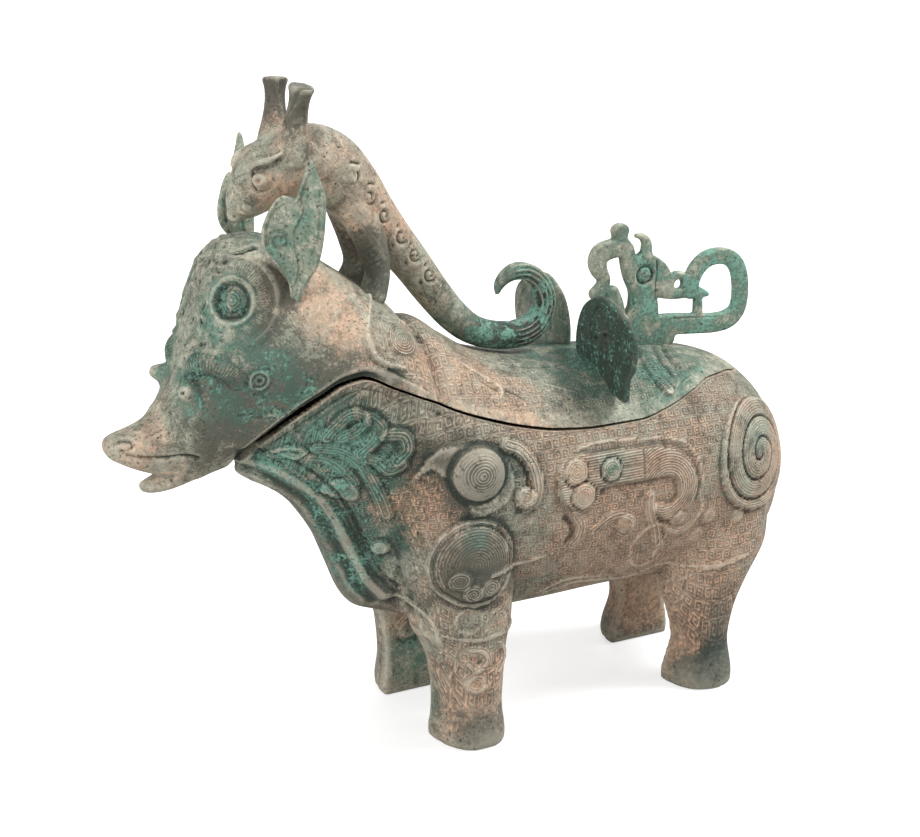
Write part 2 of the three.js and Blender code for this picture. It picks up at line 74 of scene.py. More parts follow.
def column(table, number):
    """Cubic pieces through one column; each slope is the harmonic mean of its two neighbours' slopes."""
    xs, ys = np.array(table, float)[:, [0, number]].T
    steps = np.diff(ys) / np.diff(xs)
    product = steps[:-1] * steps[1:]
    total = np.where(product > 0, steps[:-1] + steps[1:], 1)
    slopes = np.concatenate([steps[:1], np.where(product > 0, 2 * product / total, 0), steps[-1:]])

    def value(x):
        x = np.clip(x, xs[0], xs[-1])
        i = np.clip(np.searchsorted(xs, x, side="right") - 1, 0, len(xs) - 2)
        width = xs[i + 1] - xs[i]
        t = (x - xs[i]) / width
        rise = (3 - 2 * t) * t * t
        bend = width * t * (1 - t) * (slopes[i] * (1 - t) - slopes[i + 1] * t)
        return ys[i] + (ys[i + 1] - ys[i]) * rise + bend

    return value


def ease(low_edge, high_edge, value):
    """Zero below the low edge, one above the high edge, and a smooth step between them."""
    t = np.clip((value - low_edge) / (high_edge - low_edge), 0, 1)
    return t * t * (3 - 2 * t)


# %% [markdown]
# The trunk of the beast is a row of sections. Each is a superellipse, a little squarer than an ellipse,
# with its own height, underside and half-width. Columns: x, top, widest level, underside, half-width.

# %% The body and the head as sections
TORSO = [
    [-51, 118, 110, 96, 7], [-46, 150, 111, 78, 23], [-38, 174, 112, 62, 36.5],
    [-26, 186, 113, 53.5, 44.5], [-12, 177.5, 113, 49, 47.5], [4, 168, 113, 49, 48.5],
    [30, 162.5, 112, 49, 49], [60, 161, 111, 49.5, 49], [90, 158, 109, 49.5, 48.5],
    [112, 154.5, 106, 49.5, 46.5], [130, 149, 102, 50, 42], [144, 139, 98, 54, 35],
    [155, 125, 94, 62, 24.5], [161, 112, 91, 73, 14], [164.2, 96, 89, 83, 4],
]
NECK = [
    [-160.8, 150, 148.5, 146.5, 2.5], [-159, 152, 148, 143.5, 6], [-154.5, 153.5, 147, 140.5, 8.5],
    [-149, 155, 146, 137.5, 10], [-142, 158, 146, 134.5, 11.5], [-135, 166, 151, 132, 14],
    [-128.5, 180, 161, 129.5, 17], [-124, 196, 170, 129, 20], [-119, 211, 180, 130.5, 22.5],
    [-113, 222, 188, 132, 25], [-106, 227.5, 191, 133.5, 27], [-97, 229, 189, 133, 29],
    [-86, 226.5, 184, 132, 31], [-74, 220, 177, 131, 34], [-62, 212, 169, 129, 37],
    [-50, 203.5, 160, 126, 40], [-40, 196, 154, 124, 41], [-30, 183, 150, 122, 38],
]
TORSO_ROUND = 2.15
NECK_ROUND = 2.1


def crowded(first, last, count):
    """Stations from first to last that crowd towards both ends, where a body rounds off."""
    t = np.linspace(0, 1, count)
    return first + (last - first) * (0.5 * t + 0.25 * (1 - np.cos(np.pi * t)))


def section_rings(table, roundness, along, around):
    """Ring at each x: half-width times a power of cosine across, and reach times a power of sine upwards."""
    x = crowded(table[0][0], table[-1][0], along)[:, None]
    top, level, under, half = (column(table, k)(x) for k in (1, 2, 3, 4))
    turn = (np.arange(around) + 0.5) / around * 2 * np.pi
    across = np.sign(np.cos(turn)) * np.abs(np.cos(turn)) ** (2 / roundness)
    upward = np.sign(np.sin(turn)) * np.abs(np.sin(turn)) ** (2 / roundness)
    reach = np.where(upward > 0, top - level, level - under)
    return np.stack([np.broadcast_to(x, reach.shape), half * across, level + reach * upward], -1)


def half_width(table, roundness, x, z):
    """Half the width of such a body at a height: the superellipse solved for its width."""
    top, level, under, half = (column(table, k)(x) for k in (1, 2, 3, 4))
    reach = np.where(z > level, top - level, level - under)
    share = np.clip(np.abs(z - level) / reach, 0, 1)
    return half * (1 - share**roundness) ** (1 / roundness)


torso_rings = section_rings(TORSO, TORSO_ROUND, 90, 96)
neck_rings = section_rings(NECK, NECK_ROUND, 80, 80)
print("torso grid", torso_rings.shape, "neck grid", neck_rings.shape)

# %% [markdown]
# The seam between vessel and lid is a curve seen from the side. The lid sits a little proud of it, and
# the gap is widest at the pouring lip, where the real lid no longer fits closely.

# %% The seam
SEAM = [
    [-107, 137], [-98, 146.5], [-90, 154], [-80, 162], [-70, 169.5], [-62, 171.5], [-50, 166.5],
    [-35, 159.5], [-21, 152.5], [-7, 147], [7, 142.5], [26, 138.5], [46, 137], [66, 137],
    [82, 139.5], [99, 143.5], [112, 146], [124, 145.5], [139, 142.5], [170, 141],
]
seam_height = column(SEAM, 1)
GAP = [[-107, 4.2], [-85, 3.6], [-66, 1.7], [-40, 1.2], [0, 1.5], [40, 1.3], [90, 0.9], [170, 0.7]]
seam_gap = column(GAP, 1)

# %% [markdown]
# Below the head the vessel's own front hangs as a pouring spout and a deep chest. Its sections follow the
# neck's width at the seam, so lid and spout meet flush, and narrow to a ridge and then to a keel.
# Columns: x, half-width at the ridge, height of the ridge, underside.

# %% The chest as sections
CHEST = [
    [-106, 3, 133.5, 129], [-100, 7.5, 137, 124.5], [-92, 10.5, 134, 120], [-84, 12.5, 127.5, 114],
    [-77, 13.5, 121.5, 105], [-70, 14.5, 113, 93.5], [-64, 15, 103.5, 78.5], [-58, 15.5, 93, 64],
    [-52, 16.5, 79, 58.5], [-44, 19, 66, 57], [-34, 26, 62, 55], [-18, 34, 62, 54],
]
CHEST_RIM = 8.0  # the sections run on this far above the seam, to be cut there


def chest_rings(along, around):
    """Half rings from above the seam to the keel: straight to the ridge, hollow below it, mirrored."""
    x = crowded(CHEST[0][0], CHEST[-1][0], along)[:, None]
    ridge, low_edge, under = (column(CHEST, k)(x) for k in (1, 2, 3))
    seam = seam_height(x)
    behind_chest = np.clip(x + 38, 0, None) / 20  # nought along the spout, and one where the ribs begin
    edge = half_width(NECK, NECK_ROUND, x, seam) * (1 - 0.12 * behind_chest**2)
    ridge = np.minimum(ridge, edge)
    t = np.linspace(0, 2, around)[None]
    above = seam + CHEST_RIM + (low_edge - seam - CHEST_RIM) * np.clip(t, 0, 1)
    below = low_edge + (under - low_edge) * np.clip(t - 1, 0, 1)
    z = np.where(t < 1, above, below)
    share = np.clip((z - low_edge) / (seam - low_edge), 0, 1)
    drop = np.clip((low_edge - z) / (low_edge - under), 0, 1)
    y = np.where(t < 1, ridge + (edge - ridge) * share**0.9, ridge * np.sqrt(1 - drop**2))
    near = np.stack([np.broadcast_to(x, z.shape), -y, z], -1)
    far = (near * [1, -1, 1])[:, -2::-1]
    return np.concatenate([near, far], 1)


# %% [markdown]
# Each leg is a D in plan: flat towards the middle, where the casting was left plain, and round outside.
# It is lofted through rows of height, front, back and outward reach, and flares where it grows out of the
# body.

# %% The legs
LEG_INNER = 21.0
FRONT_X = -11.5
HIND_X = 111.0
FRONT_LEG = [
    [0, -16.5, 16.5, 26.5], [3.4, -16.5, 16.5, 26.5], [16.7, -15.1, 15.1, 25], [35.3, -16.5, 15.9, 26],
    [46.6, -20.5, 17.5, 26.5], [56.4, -25.5, 20, 27.5], [78.4, -25, 20.5, 28.5], [98, -19.5, 16.5, 26.5],
]
HIND_LEG = [
    [0, -16.5, 16.5, 23], [3.9, -16.5, 16.5, 23], [22, -12, 14, 20.5], [36.8, -15.5, 17.5, 21],
    [49, -20.5, 24.5, 21.5], [68.6, -24.5, 35.5, 22.5], [93.1, -20.5, 36.5, 21.5],
]


def leg_rings(side, middle_x, rows, along=40, around=48):
    """Rings up the leg: half a superellipse outside and a straight inner face, with rounded corners."""
    z = np.linspace(0, rows[-1][0], along)[:, None]
    front, back, reach = (column(rows, k)(z) for k in (1, 2, 3))
    turn = np.linspace(0, np.pi, around)[None]
    along_x = np.sign(np.cos(turn)) * np.abs(np.cos(turn)) ** 0.86
    outward = np.sin(turn) ** 0.86
    x = middle_x + (front + back) / 2 - (back - front) / 2 * along_x
    y = side * (LEG_INNER + reach * outward)
    return np.stack([x, y, np.broadcast_to(z, x.shape)], -1)


# %% [markdown]
# A shell is a list of points and triangles. A tube closes a stack of rings, a ball is a squashed sphere,
# and a bar carries a round section along a path. They overlap freely, because the next step fuses them.

# %% Closed shells


def facing_out(points, faces):
    """The same shell, turned round if its signed volume is negative."""
    a, b, c = (points[faces[:, k]] for k in range(3))
    volume = np.einsum("ij,ij->i", a, np.cross(b, c)).sum()
    return points, faces if volume > 0 else faces[:, ::-1]


def tube(rings):
    """Triangles between neighbouring rings, and a fan to the middle of the first ring and of the last."""
    rows, count = rings.shape[:2]
    points = np.concatenate([rings.reshape(-1, 3), rings[:1].mean(1), rings[-1:].mean(1)])
    row, place = np.meshgrid(np.arange(rows - 1), np.arange(count), indexing="ij")
    a = (row * count + place).ravel()
    b = (row * count + (place + 1) % count).ravel()
    ring = np.arange(count)
    after = (ring + 1) % count
    last = (rows - 1) * count
    faces = np.concatenate([
        np.stack([a, b, a + count], 1),
        np.stack([b, b + count, a + count], 1),
        np.stack([after, ring, np.full(count, rows * count)], 1),
        np.stack([last + ring, last + after, np.full(count, rows * count + 1)], 1),
    ])
    return facing_out(points, faces)


def ball(centre, radii, along=24, around=32):
    """Ellipsoid: rings of latitude whose radius is the sine of the way down."""
    down = np.linspace(0.02, np.pi - 0.02, along)[:, None]
    turn = (np.arange(around) / around * 2 * np.pi)[None]
    unit = np.stack([np.sin(down) * np.cos(turn), np.sin(down) * np.sin(turn), np.cos(down) + 0 * turn], -1)
    return tube(np.asarray(centre, float) + unit * radii)


def traced(points, step=0.5, closed=False):
    """Catmull-Rom curve through the points, sampled about every step."""
    p = np.asarray(points, float)
    if closed:
        ends = [p[-1:], p, p[:2]]
    else:
        ends = [2 * p[:1] - p[1:2], p, 2 * p[-1:] - p[-2:-1]]
    q = np.concatenate(ends)
    spans = len(q) - 3
    length = np.linalg.norm(np.diff(q[1:-1], axis=0), axis=1).sum()
    t = np.linspace(0, spans, max(int(length / step), spans * 2) + 1)
    i = np.minimum(t.astype(int), spans - 1)
    f = (t - i)[:, None]
    a, b, c, d = (q[i + k] for k in range(4))
    return 0.5 * (2 * b + (c - a) * f + (2 * a - 5 * b + 4 * c - d) * f**2 + (3 * b - a - 3 * c + d) * f**3)


def bar(points, radii, flat=1.0, side=(0, 1, 0), step=1.0, around=20, blunt=0.8):
    """Round section carried along a smooth path, its radius read from the list; flat scales it sideways.

    Each end is closed by a dome of four more rings, whose height is blunt times the radius.
    """
    path = traced(points, step)
    t = np.linspace(0, 1, len(path))
    radii = np.broadcast_to(np.asarray(radii, float), (len(points),))
    radius = traced(np.stack([radii, radii * 0], 1), 0.01)[:, 0]
    radius = np.interp(t, np.linspace(0, 1, len(radius)), radius)
    along = np.gradient(path, axis=0)
    along /= np.linalg.norm(along, axis=1)[:, None]
    aside = np.asarray(side, float) - along * (along @ np.asarray(side, float))[:, None]
    aside /= np.linalg.norm(aside, axis=1)[:, None]
    up = np.cross(along, aside)
    turn = (np.arange(around) / around * 2 * np.pi)[None, :, None]
    ring = flat * np.cos(turn) * aside[:, None] + np.sin(turn) * up[:, None]
    rings = path[:, None] + ring * radius[:, None, None]
    dome = np.radians([25, 50, 72, 86])[:, None, None]
    first = path[0] - along[0] * radius[0] * blunt * np.sin(dome) + ring[:1] * radius[0] * np.cos(dome)
    last = path[-1] + along[-1] * radius[-1] * blunt * np.sin(dome) + ring[-1:] * radius[-1] * np.cos(dome)
    return tube(np.concatenate([first[::-1], rings, last]))


# %% [markdown]
# Cast bronze has no sharp joins: where a leg leaves the body the wax was smoothed over. A voxel remesh
# puts one even skin round all the overlapping shells, and a few rounds of averaging soften what it
# leaves.

# %% Fuse and soften
# One mask holds soft darkening blots: some are darker patches of the patina, others painted shade where one
# part shades another.
MASKS = ("ground", "thread", "threads", "lush", "earth", "dusk", "rough", "hollow", "across", "up")


def loose_mesh(name, points, faces, masks=None):
    """Mesh straight from arrays, with its masks as attributes of its points."""
    made = bpy.data.meshes.new(name)
    made.vertices.add(len(points))
    made.vertices.foreach_set("co", np.ascontiguousarray(points, np.float32).ravel())
    made.loops.add(len(faces) * 3)
    made.loops.foreach_set("vertex_index", np.ascontiguousarray(faces, np.int32).ravel())
    made.polygons.add(len(faces))
    made.polygons.foreach_set("loop_start", np.arange(len(faces), dtype=np.int32) * 3)
    for mask, value in (masks or {}).items():
        layer = made.attributes.new(mask, "FLOAT", "POINT")
        layer.data.foreach_set("value", np.ascontiguousarray(value, np.float32))
    made.update(calc_edges=True)
    return made


def mesh_arrays(mesh):
    """Points, triangles and masks of a mesh."""
    mesh.calc_loop_triangles()
    points = np.empty(len(mesh.vertices) * 3, np.float32)
    mesh.vertices.foreach_get("co", points)
    faces = np.empty(len(mesh.loop_triangles) * 3, np.int32)
    mesh.loop_triangles.foreach_get("vertices", faces)
    masks = {}
    for mask in MASKS:
        if mask in mesh.attributes:
            masks[mask] = np.empty(len(mesh.vertices), np.float32)
            mesh.attributes[mask].data.foreach_get("value", masks[mask])
    return points.reshape(-1, 3).astype(float), faces.reshape(-1, 3), masks


def worked(points, faces, *tools, masks=None):
    """The mesh after a list of modifiers, each given as its type and its settings."""
    obj = bpy.data.objects.new("working", loose_mesh("working", points, faces, masks))
    bpy.context.scene.collection.objects.link(obj)
    for kind, settings in tools:
        tool = obj.modifiers.new(kind, kind)
        for name, value in settings.items():
            setattr(tool, name, value)
    seen = obj.evaluated_get(bpy.context.evaluated_depsgraph_get())
    result = bpy.data.meshes.new_from_object(seen)
    arrays = mesh_arrays(result)
    bpy.data.objects.remove(obj)
    bpy.data.meshes.remove(result)
    return arrays


def together(shells):
    """Several shells as one set of arrays."""
    starts = np.cumsum([0] + [len(points) for points, _ in shells[:-1]])
    faces = [tris + start for (_, tris), start in zip(shells, starts)]
    return np.concatenate([points for points, _ in shells]), np.concatenate(faces)


def neighbours(faces):
    """Each edge once, as pairs of vertices."""
    edges = np.sort(faces[:, [[0, 1], [1, 2], [2, 0]]].reshape(-1, 2), axis=1)
    return np.unique(edges, axis=0)


def averaged(values, edges):
    """Mean of each vertex's neighbours."""
    count = len(values)
    a, b = edges.T
    total = np.zeros(values.shape)
    for k in range(values.shape[1]):
        total[:, k] = np.bincount(a, values[b, k], count) + np.bincount(b, values[a, k], count)
    return total / np.maximum(np.bincount(edges.ravel(), minlength=count), 1)[:, None]


def fused(shells, voxel, rounds):
    """One skin round all the shells, softened: each round moves a vertex half way to its neighbours' mean."""
    points, faces, _ = worked(*together(shells), ("REMESH", {"mode": "VOXEL", "voxel_size": voxel}))
    edges = neighbours(faces)
    for _ in range(rounds):
        points = 0.5 * points + 0.5 * averaged(points, edges)
    print("fused", len(shells), "shells into", len(faces), "triangles")
    return points, faces, edges


def normals_of(points, faces):
    """Vertex normals: the sum of the neighbouring triangles' normals, made one long."""
    a, b, c = (points[faces[:, k]] for k in range(3))
    face = np.cross(b - a, c - a)
    total = np.stack([
        sum(np.bincount(faces[:, k], face[:, axis], len(points)) for k in range(3)) for axis in range(3)
    ], 1)
    return total / np.maximum(np.linalg.norm(total, axis=1), 1e-12)[:, None]


# %% [markdown]
# Relief is drawn with a handful of strokes. Each stroke asks how far every point of the surface is from a
# traced curve, and answers with a height: a cord is a rounded line, a field is a flat raised area with a
# crisp edge. A surface is read as x, distance from the middle plane, and height, so both sides get the
# same drawing.


# %% Strokes of relief
class Relief:
    """Heights and finish masks gathered over the points of one surface."""

    def __init__(self, points, normals):
        self.place = np.stack([points[:, 0], np.abs(points[:, 1]), points[:, 2]], 1)
        self.normals = normals
        count = len(points)
        self.height = np.zeros(count)
        self.masks = {name: np.zeros(count) for name in MASKS}
        self.flank = ease(0.1, 0.45, np.abs(normals[:, 1]))

    def away(self, path, reach, axes=(0, 2)):
        """Distance to the nearest sample of a path within reach, and how far along the path that is."""
        where = self.place[:, axes]
        near = ((where > path.min(0) - reach) & (where < path.max(0) + reach)).all(1)
        chosen = np.flatnonzero(near)
        distance = np.full(len(where), np.inf)
        along = np.zeros(len(where))
        for part in np.array_split(chosen, max(1, len(chosen) * len(path) // 3_000_000 + 1)):
            gaps = ((where[part][:, None] - path[None]) ** 2).sum(2)
            best = gaps.argmin(1)
            distance[part] = np.sqrt(gaps[np.arange(len(part)), best])
            along[part] = best / max(len(path) - 1, 1)
        return distance, along

    def cord(self, points, width, height, axes=(0, 2), closed=False, taper=0.0, mask=None):
        """Rounded line that fades to nothing at the width; a minus height makes a groove."""
        path = traced(points, 0.4, closed)
        distance, along = self.away(path, width, axes)
        slim = 1 - taper * np.maximum(ease(0.75, 1, along), ease(0.25, 0, along))
        shape = (1 - ease(0.15, 1, distance / (width * np.maximum(slim, 0.05)))) * height
        self.height += shape * (self.flank if mask is None else mask)

    def field(self, points, height, edge=0.9, axes=(0, 2), mask=None):
        """Raised area inside a closed curve, with an edge this wide; returns how far in each point is."""
        path = traced(points, 0.5, True)
        distance, _ = self.away(path, 60, axes)
        x, z = self.place[:, axes[0]], self.place[:, axes[1]]
        inside = np.zeros(len(x), bool)
        for (x1, z1), (x2, z2) in zip(path[::2], np.roll(path[::2], -1, 0)):
            crosses = ((z1 > z) != (z2 > z)) & (x < (x2 - x1) * (z - z1) / (z2 - z1 + 1e-12) + x1)
            inside ^= crosses
        signed = np.where(inside, distance, -distance)
        amount = ease(-edge / 2, edge / 2, np.nan_to_num(signed, neginf=-99, posinf=99))
        amount = amount * (self.flank if mask is None else mask)
        self.height += amount * height
        return amount

    def band(self, points, width, height, axes=(0, 2), edge=0.9, lines=True, mask=None):
        """Flat strip along a curve, and on it threads that run parallel to its edges."""
        path = traced(points, 0.4)
        distance, _ = self.away(path, width + edge + 2, axes)
        amount = (1 - ease(width - edge / 2, width + edge / 2, distance))
        amount = amount * (self.flank if mask is None else mask)
        self.height += amount * height
        if lines:
            self.rule(amount, width - np.where(np.isinf(distance), 0, distance))
        return amount

    def rule(self, amount, phase):
        """Engraved threads where amount is high: lines of equal phase, in millimetres."""
        self.masks["thread"] = np.where(amount > 0.15, phase, self.masks["thread"])
        self.masks["threads"] = np.maximum(self.masks["threads"] * (amount < 0.15), amount)

    def disc(self, centre, radius, height, turns=1.0, axes=(0, 2), squash=1.0, rise=0.0, mask=None):
        """Round field with one spiral thread: the phase is the radius less a share of the turn."""
        centre = np.asarray(centre, float)
        gap = self.place[:, axes] - centre
        gap[:, -1] /= squash
        distance = np.linalg.norm(gap, axis=1)
        amount = 1 - ease(radius - 0.5, radius + 0.5, distance)
        amount = amount * (self.flank if mask is None else mask)
        crown = np.sqrt(np.clip(1 - (distance / radius) ** 2, 0, 1))
        self.height += amount * (height + rise * crown)
        angle = np.arctan2(gap[:, -1], gap[:, 0]) / (2 * np.pi)
        self.rule(amount * 0.5, distance - turns * THREAD * angle)
        return amount


THREAD = 1.15  # millimetres from one engraved thread to the next
print("relief strokes ready, threads", THREAD, "mm apart")


def spiral(centre, outer, inner, start, turns, count=40):
    """Points of a spiral seen from the side: the radius shrinks evenly as the angle grows."""
    t = np.linspace(0, 1, count)
    radius = outer + (inner - outer) * t
    angle = start + turns * 2 * np.pi * t
    return np.stack([centre[0] + radius * np.cos(angle), centre[1] + radius * np.sin(angle)], 1)


# %% [markdown]
# The vessel: torso, chest, shoulders and legs are fused into one skin in steps of a millimetre and a
# quarter, fine enough for a cast band two millimetres wide. The thinnest engraving is left to the finish.

# %% Fuse the vessel
VESSEL_VOXEL = 1.25
SOFTEN = 5  # rounds of averaging
SHOULDER = ([-15, 28, 92], [28, 21.5, 33])
vessel_shells = [tube(torso_rings), tube(chest_rings(70, 36))]
for side in (-1, 1):
    vessel_shells.append(tube(leg_rings(side, FRONT_X, FRONT_LEG)))
    vessel_shells.append(tube(leg_rings(side, HIND_X, HIND_LEG)))
    vessel_shells.append(ball(np.multiply(SHOULDER[0], [1, side, 1]), SHOULDER[1]))
vessel_points, vessel_faces, vessel_edges = fused(vessel_shells, VESSEL_VOXEL, SOFTEN)

# %% [markdown]
# The flank is read from left to right: a boss with a curling horn beside it, a coiled snake on the
# shoulder, a long dragon with spirals for a head and a hooked tail, and a great spiral on the rump. The
# ground between them is filled with squared spirals, which the finish draws.

# %% Relief of the flank
vessel_normals = normals_of(vessel_points, vessel_faces)
work = Relief(vessel_points, vessel_normals)
work_x, work_out, work_z = work.place.T

# A boss under the jaw, and the horn that curls beside it.
JAW_FIELD = [
    [-41, 124], [-36.4, 128.5], [-33.1, 130], [-30.5, 127.1], [-27.8, 126.4], [-24.8, 120.1], [-19.8, 113.7],
    [-17.9, 108.5], [-10, 110], [-3, 114], [0, 122], [-3, 132], [-10, 138.5], [-18, 139.5], [-25, 139.5],
    [-30, 139], [-35, 134],
]
work.field(JAW_FIELD, 0.9)
work.disc([-16, 127.5], 11.3, 0.4, rise=5.6, turns=0)
work.cord(spiral([-16, 127.5], 12.4, 12.4, 0, 1, 60), 1.1, -0.4, closed=True)
HORN_BAND = [[-2, 137.5], [4, 134.5], [8.6, 128.3], [10.6, 122], [11, 117], [9.6, 112.2], [6, 110.2]]
work.band(HORN_BAND, 2.7, 1.5)
work.disc([5.2, 114.3], 4.4, 1.5)
work.cord([[0, 134], [4.6, 129.5], [6.6, 124], [7, 119]], 1.1, -0.9)
work.disc([4.7, 103.3], 4.8, 0.6)

# The coiled snake, and the line of its tail along the belly.
SNAKE = [-18.6, 88.6]
work.disc(SNAKE, 18.4, 0.5, turns=1, squash=1.04, rise=2.2)
work.cord(spiral(SNAKE, 18.6, 18.6, 0, 1, 80), 1.0, 1.0, closed=True)
work.cord(spiral(SNAKE, 16.6, 16.6, 0, 1, 80), 0.9, -0.7, closed=True)
for centre, radius in (([-25.2, 82.5], 4.6), ([-20, 76], 4), ([-12.5, 77.5], 4.4)):
    work.disc(centre, radius, 0.5)
work.cord([[21, 85], [7.8, 83.2], [-4.3, 83.6], [-13.5, 82.8]], 1.3, 1.1, taper=0.8)
work.cord([[53.5, 64.3], [37, 67.5], [28, 66], [20, 60]], 1.2, 0.9, taper=0.8)

# The long dragon: its raised body, the spirals of its head, its back line and claws, and a leaf below.
DRAGON_FIELD = [
    [21, 117], [21.5, 124.5], [28, 128.5], [36, 128], [44, 127.5], [58, 126.8], [72, 126], [82, 122.8],
    [89.5, 115], [92.3, 105], [90, 96], [83, 91.5], [75, 92], [69.5, 97.5], [72, 99.8], [80, 99], [83, 104],
    [80.5, 110.5], [74.5, 112.8], [64, 112.6], [52, 113], [42.5, 112.5], [40.5, 106.5], [33, 102.8],
    [26, 106], [22.5, 111],
]
dragon = work.field(DRAGON_FIELD, 1.5)
CURL_MIDDLE = np.array([75.5, 106.5])
curl_distance = np.linalg.norm(work.place[:, [0, 2]] - CURL_MIDDLE, axis=1)
work.rule(dragon * (work_x > 64), curl_distance)
work.rule(dragon * (work_x <= 64), np.abs(work_z - 119.8))
for centre, radius in (([29.8, 121.4], 6.3), ([33.4, 110.4], 6.3), ([47.2, 119.8], 5.4)):
    work.cord(spiral(centre, radius, radius, 0, 1, 40), 0.9, -0.9, closed=True)
    work.disc(centre, radius - 0.6, 0.3)
BACK_LINE = [
    [31.6, 130.4], [42.8, 131.8], [60, 130.4], [75.7, 128.9], [87.4, 124.5], [93.5, 116], [95.4, 107],
    [94.5, 100], [97, 94],
]
work.cord(BACK_LINE, 0.9, 0.8)
work.band([[25, 101.5], [29, 97], [29.4, 92.5], [27.5, 89.5]], 1.6, -0.9, lines=False)
work.band([[30.5, 101.5], [33.6, 96.5], [33, 91], [30, 87.5]], 2.6, 0.6)
work.band([[68, 104.5], [68.5, 98], [71, 91.5], [73.5, 86], [76, 79]], 2.2, 1.0)
LEAF = [[62.4, 79.9], [64, 73], [68.7, 67.3], [75.6, 67.7], [77, 77], [80, 85], [73, 90], [65.6, 86]]
work.cord(LEAF, 1.0, 0.9, closed=True)
SMALL_DISCS = (([84, 91], 4), ([97, 79], 3.6), ([101.8, 88], 3.6), ([119, 84.5], 3.4), ([56, 93], 4.2))
for centre, radius in SMALL_DISCS:
    work.disc(centre, radius, 0.8)
work.band([[40, 92], [47, 97], [54, 98], [60, 94], [58, 88], [53, 89.5]], 2, 0.8)
work.band([[79, 86], [87, 83], [93, 87], [96, 92.5]], 1.8, 0.8)
work.cord([[25.5, 61], [38, 64], [52, 62], [70, 59], [83, 64], [95, 62.5], [115, 62], [128, 64]], 1.0, 0.8)
print("flank relief from", work.height.min().round(2), "to", work.height.max().round(2), "mm")

# %% [markdown]
# The rump's spiral turns round the corner of the body, so its distance is measured through space and not
# in the side view. Legs carry small spirals above a border, and the chest a mask of meanders and leaves.

# %% Relief of the rump, legs and chest
RUMP = np.array([131.0, 40.0, 111.5])
rump_gap = work.place - RUMP
rump_distance = np.linalg.norm(rump_gap * [1, 1, 0.98], axis=1)
rump_field = 1 - ease(25.0, 26.0, rump_distance)
rump_turn = np.arctan2(rump_gap[:, 2], rump_gap[:, 0] - rump_gap[:, 1] * 0.6) / (2 * np.pi)
SWIRL = 9.0  # how far the rump's broad coil moves in over one turn
coil = np.mod(rump_distance + SWIRL * rump_turn, SWIRL) / SWIRL  # nought to one across one winding
broad = ease(0.0, 0.12, coil) * (1 - ease(0.88, 1.0, coil))
work.height += rump_field * (0.4 + 1.5 * broad)
work.rule(rump_field * 0.7, coil * SWIRL)

# The legs: two spirals, a border, and curls below it.
for centre in ([-20.9, 62.6], [-8.1, 59.6]):
    work.cord(spiral(centre, 5.6, 5.6, 0, 1, 40), 0.9, 0.7, closed=True)
    work.disc(centre, 4.8, 0.4)
work.cord([[-30, 55.5], [-18, 53.5], [-6, 53], [6, 54]], 0.9, 0.8)
for points in (
    [[-20, 49], [-14, 47], [-12, 42], [-17, 39], [-20, 42]],
    [[-16, 39], [-20, 33], [-17, 28], [-12, 30]],
    [[-4, 48], [-2, 41], [-6, 36]],
):
    work.band(points, 1.7, 0.9)
work.disc([-16.5, 32], 4.4, 0.7)
work.cord([[94, 55], [101, 60], [113, 61]], 1.0, 0.6)
work.cord([[116, 50], [121, 43], [123, 36]], 1.2, -0.8, taper=0.8)

# The chest: the ridge from the lip to the foreleg, two leaves, an arc, and the meanders of the mask.
CHEST_RIDGE = [
    [-107, 138.9], [-93.7, 133.1], [-83.9, 126.4], [-73.7, 117.3], [-66.7, 106.6], [-61.7, 96.1],
    [-56.6, 84.7], [-52.5, 76.7], [-46.5, 69.5],
]
work.cord(CHEST_RIDGE, 4.0, 2.2, mask=1.0)
for shift, width, height in ((4.2, 1.4, -0.9), (-4.2, 2.6, -1.0), (1.2, 0.8, -0.6)):
    work.cord(np.array(CHEST_RIDGE) + shift, width, height, mask=1.0)
work.cord([[-46.5, 69.5], [-41, 69], [-36, 65], [-33, 60], [-31, 52]], 1.2, 0.9, mask=1.0)
FIRST_LEAF = [[-97, 139.5], [-91, 143.2], [-85, 143], [-81.5, 140], [-85, 136.4], [-91, 137]]
work.field(FIRST_LEAF, 1.2, mask=1.0)
work.cord([[-94, 139.8], [-89, 140.6], [-84.5, 140]], 0.9, -0.8, mask=1.0)
work.field([[-74, 122], [-67.9, 117], [-60.5, 116], [-60.5, 122], [-67.5, 126]], 1.1, mask=1.0)
CHEST_ARC = [
    [-78, 141.5], [-71, 140.6], [-66.5, 138.5], [-61.5, 134.6], [-56.8, 127.3], [-52.2, 117.6], [-49, 109],
]
work.band(CHEST_ARC, 2.4, 1.1, mask=1.0)
work.band([[-80, 137], [-74, 136], [-68, 131.5], [-62, 124]], 2.0, 0.7, mask=1.0)
for points in (
    [[-75, 147], [-72, 151.5], [-67, 157], [-61.5, 155], [-63.2, 149.8], [-69, 146.4]],
    [[-59, 155], [-55, 150], [-57, 143.5], [-61, 139]],
    [[-57.5, 136], [-53.5, 134.5], [-49.5, 130.5], [-45, 133]],
    [[-52, 147], [-45.5, 146], [-43.5, 139.5], [-47.5, 135]],
):
    work.band(points, 2.6, 1.5, mask=1.0)
work.disc([-49.5, 141], 3.4, 0.2, mask=1.0)
work.disc([-62.5, 144.5], 2.4, 0.9, mask=1.0)
work.disc([-50, 93], 3.6, 0.4, rise=1.6, mask=1.0)
work.band([[-52, 88], [-49.5, 82], [-45, 78]], 1.6, 0.8, mask=1.0)
BORDER = np.array([[x, float(seam_height(x)) - 3.6] for x in np.linspace(-104, -20, 30)])
work.cord(BORDER, 0.9, -0.6, mask=1.0)
print("vessel relief up to", work.height.max().round(2), "mm")

# %% [markdown]
# The finish needs to know where it is. Each surface carries masks: where the squared ground is, where
# verdigris grew thickest, where the grave's earth stayed, and how deep each point lies compared with its
# surroundings.
# One more mask holds soft darkening blots, partly darker patina and partly painted shade.

# %% Masks for the finish
AXIS_LEVEL, FLANK_RADIUS = 100, 52  # millimetres: the body's long axis, and its flank's distance from it


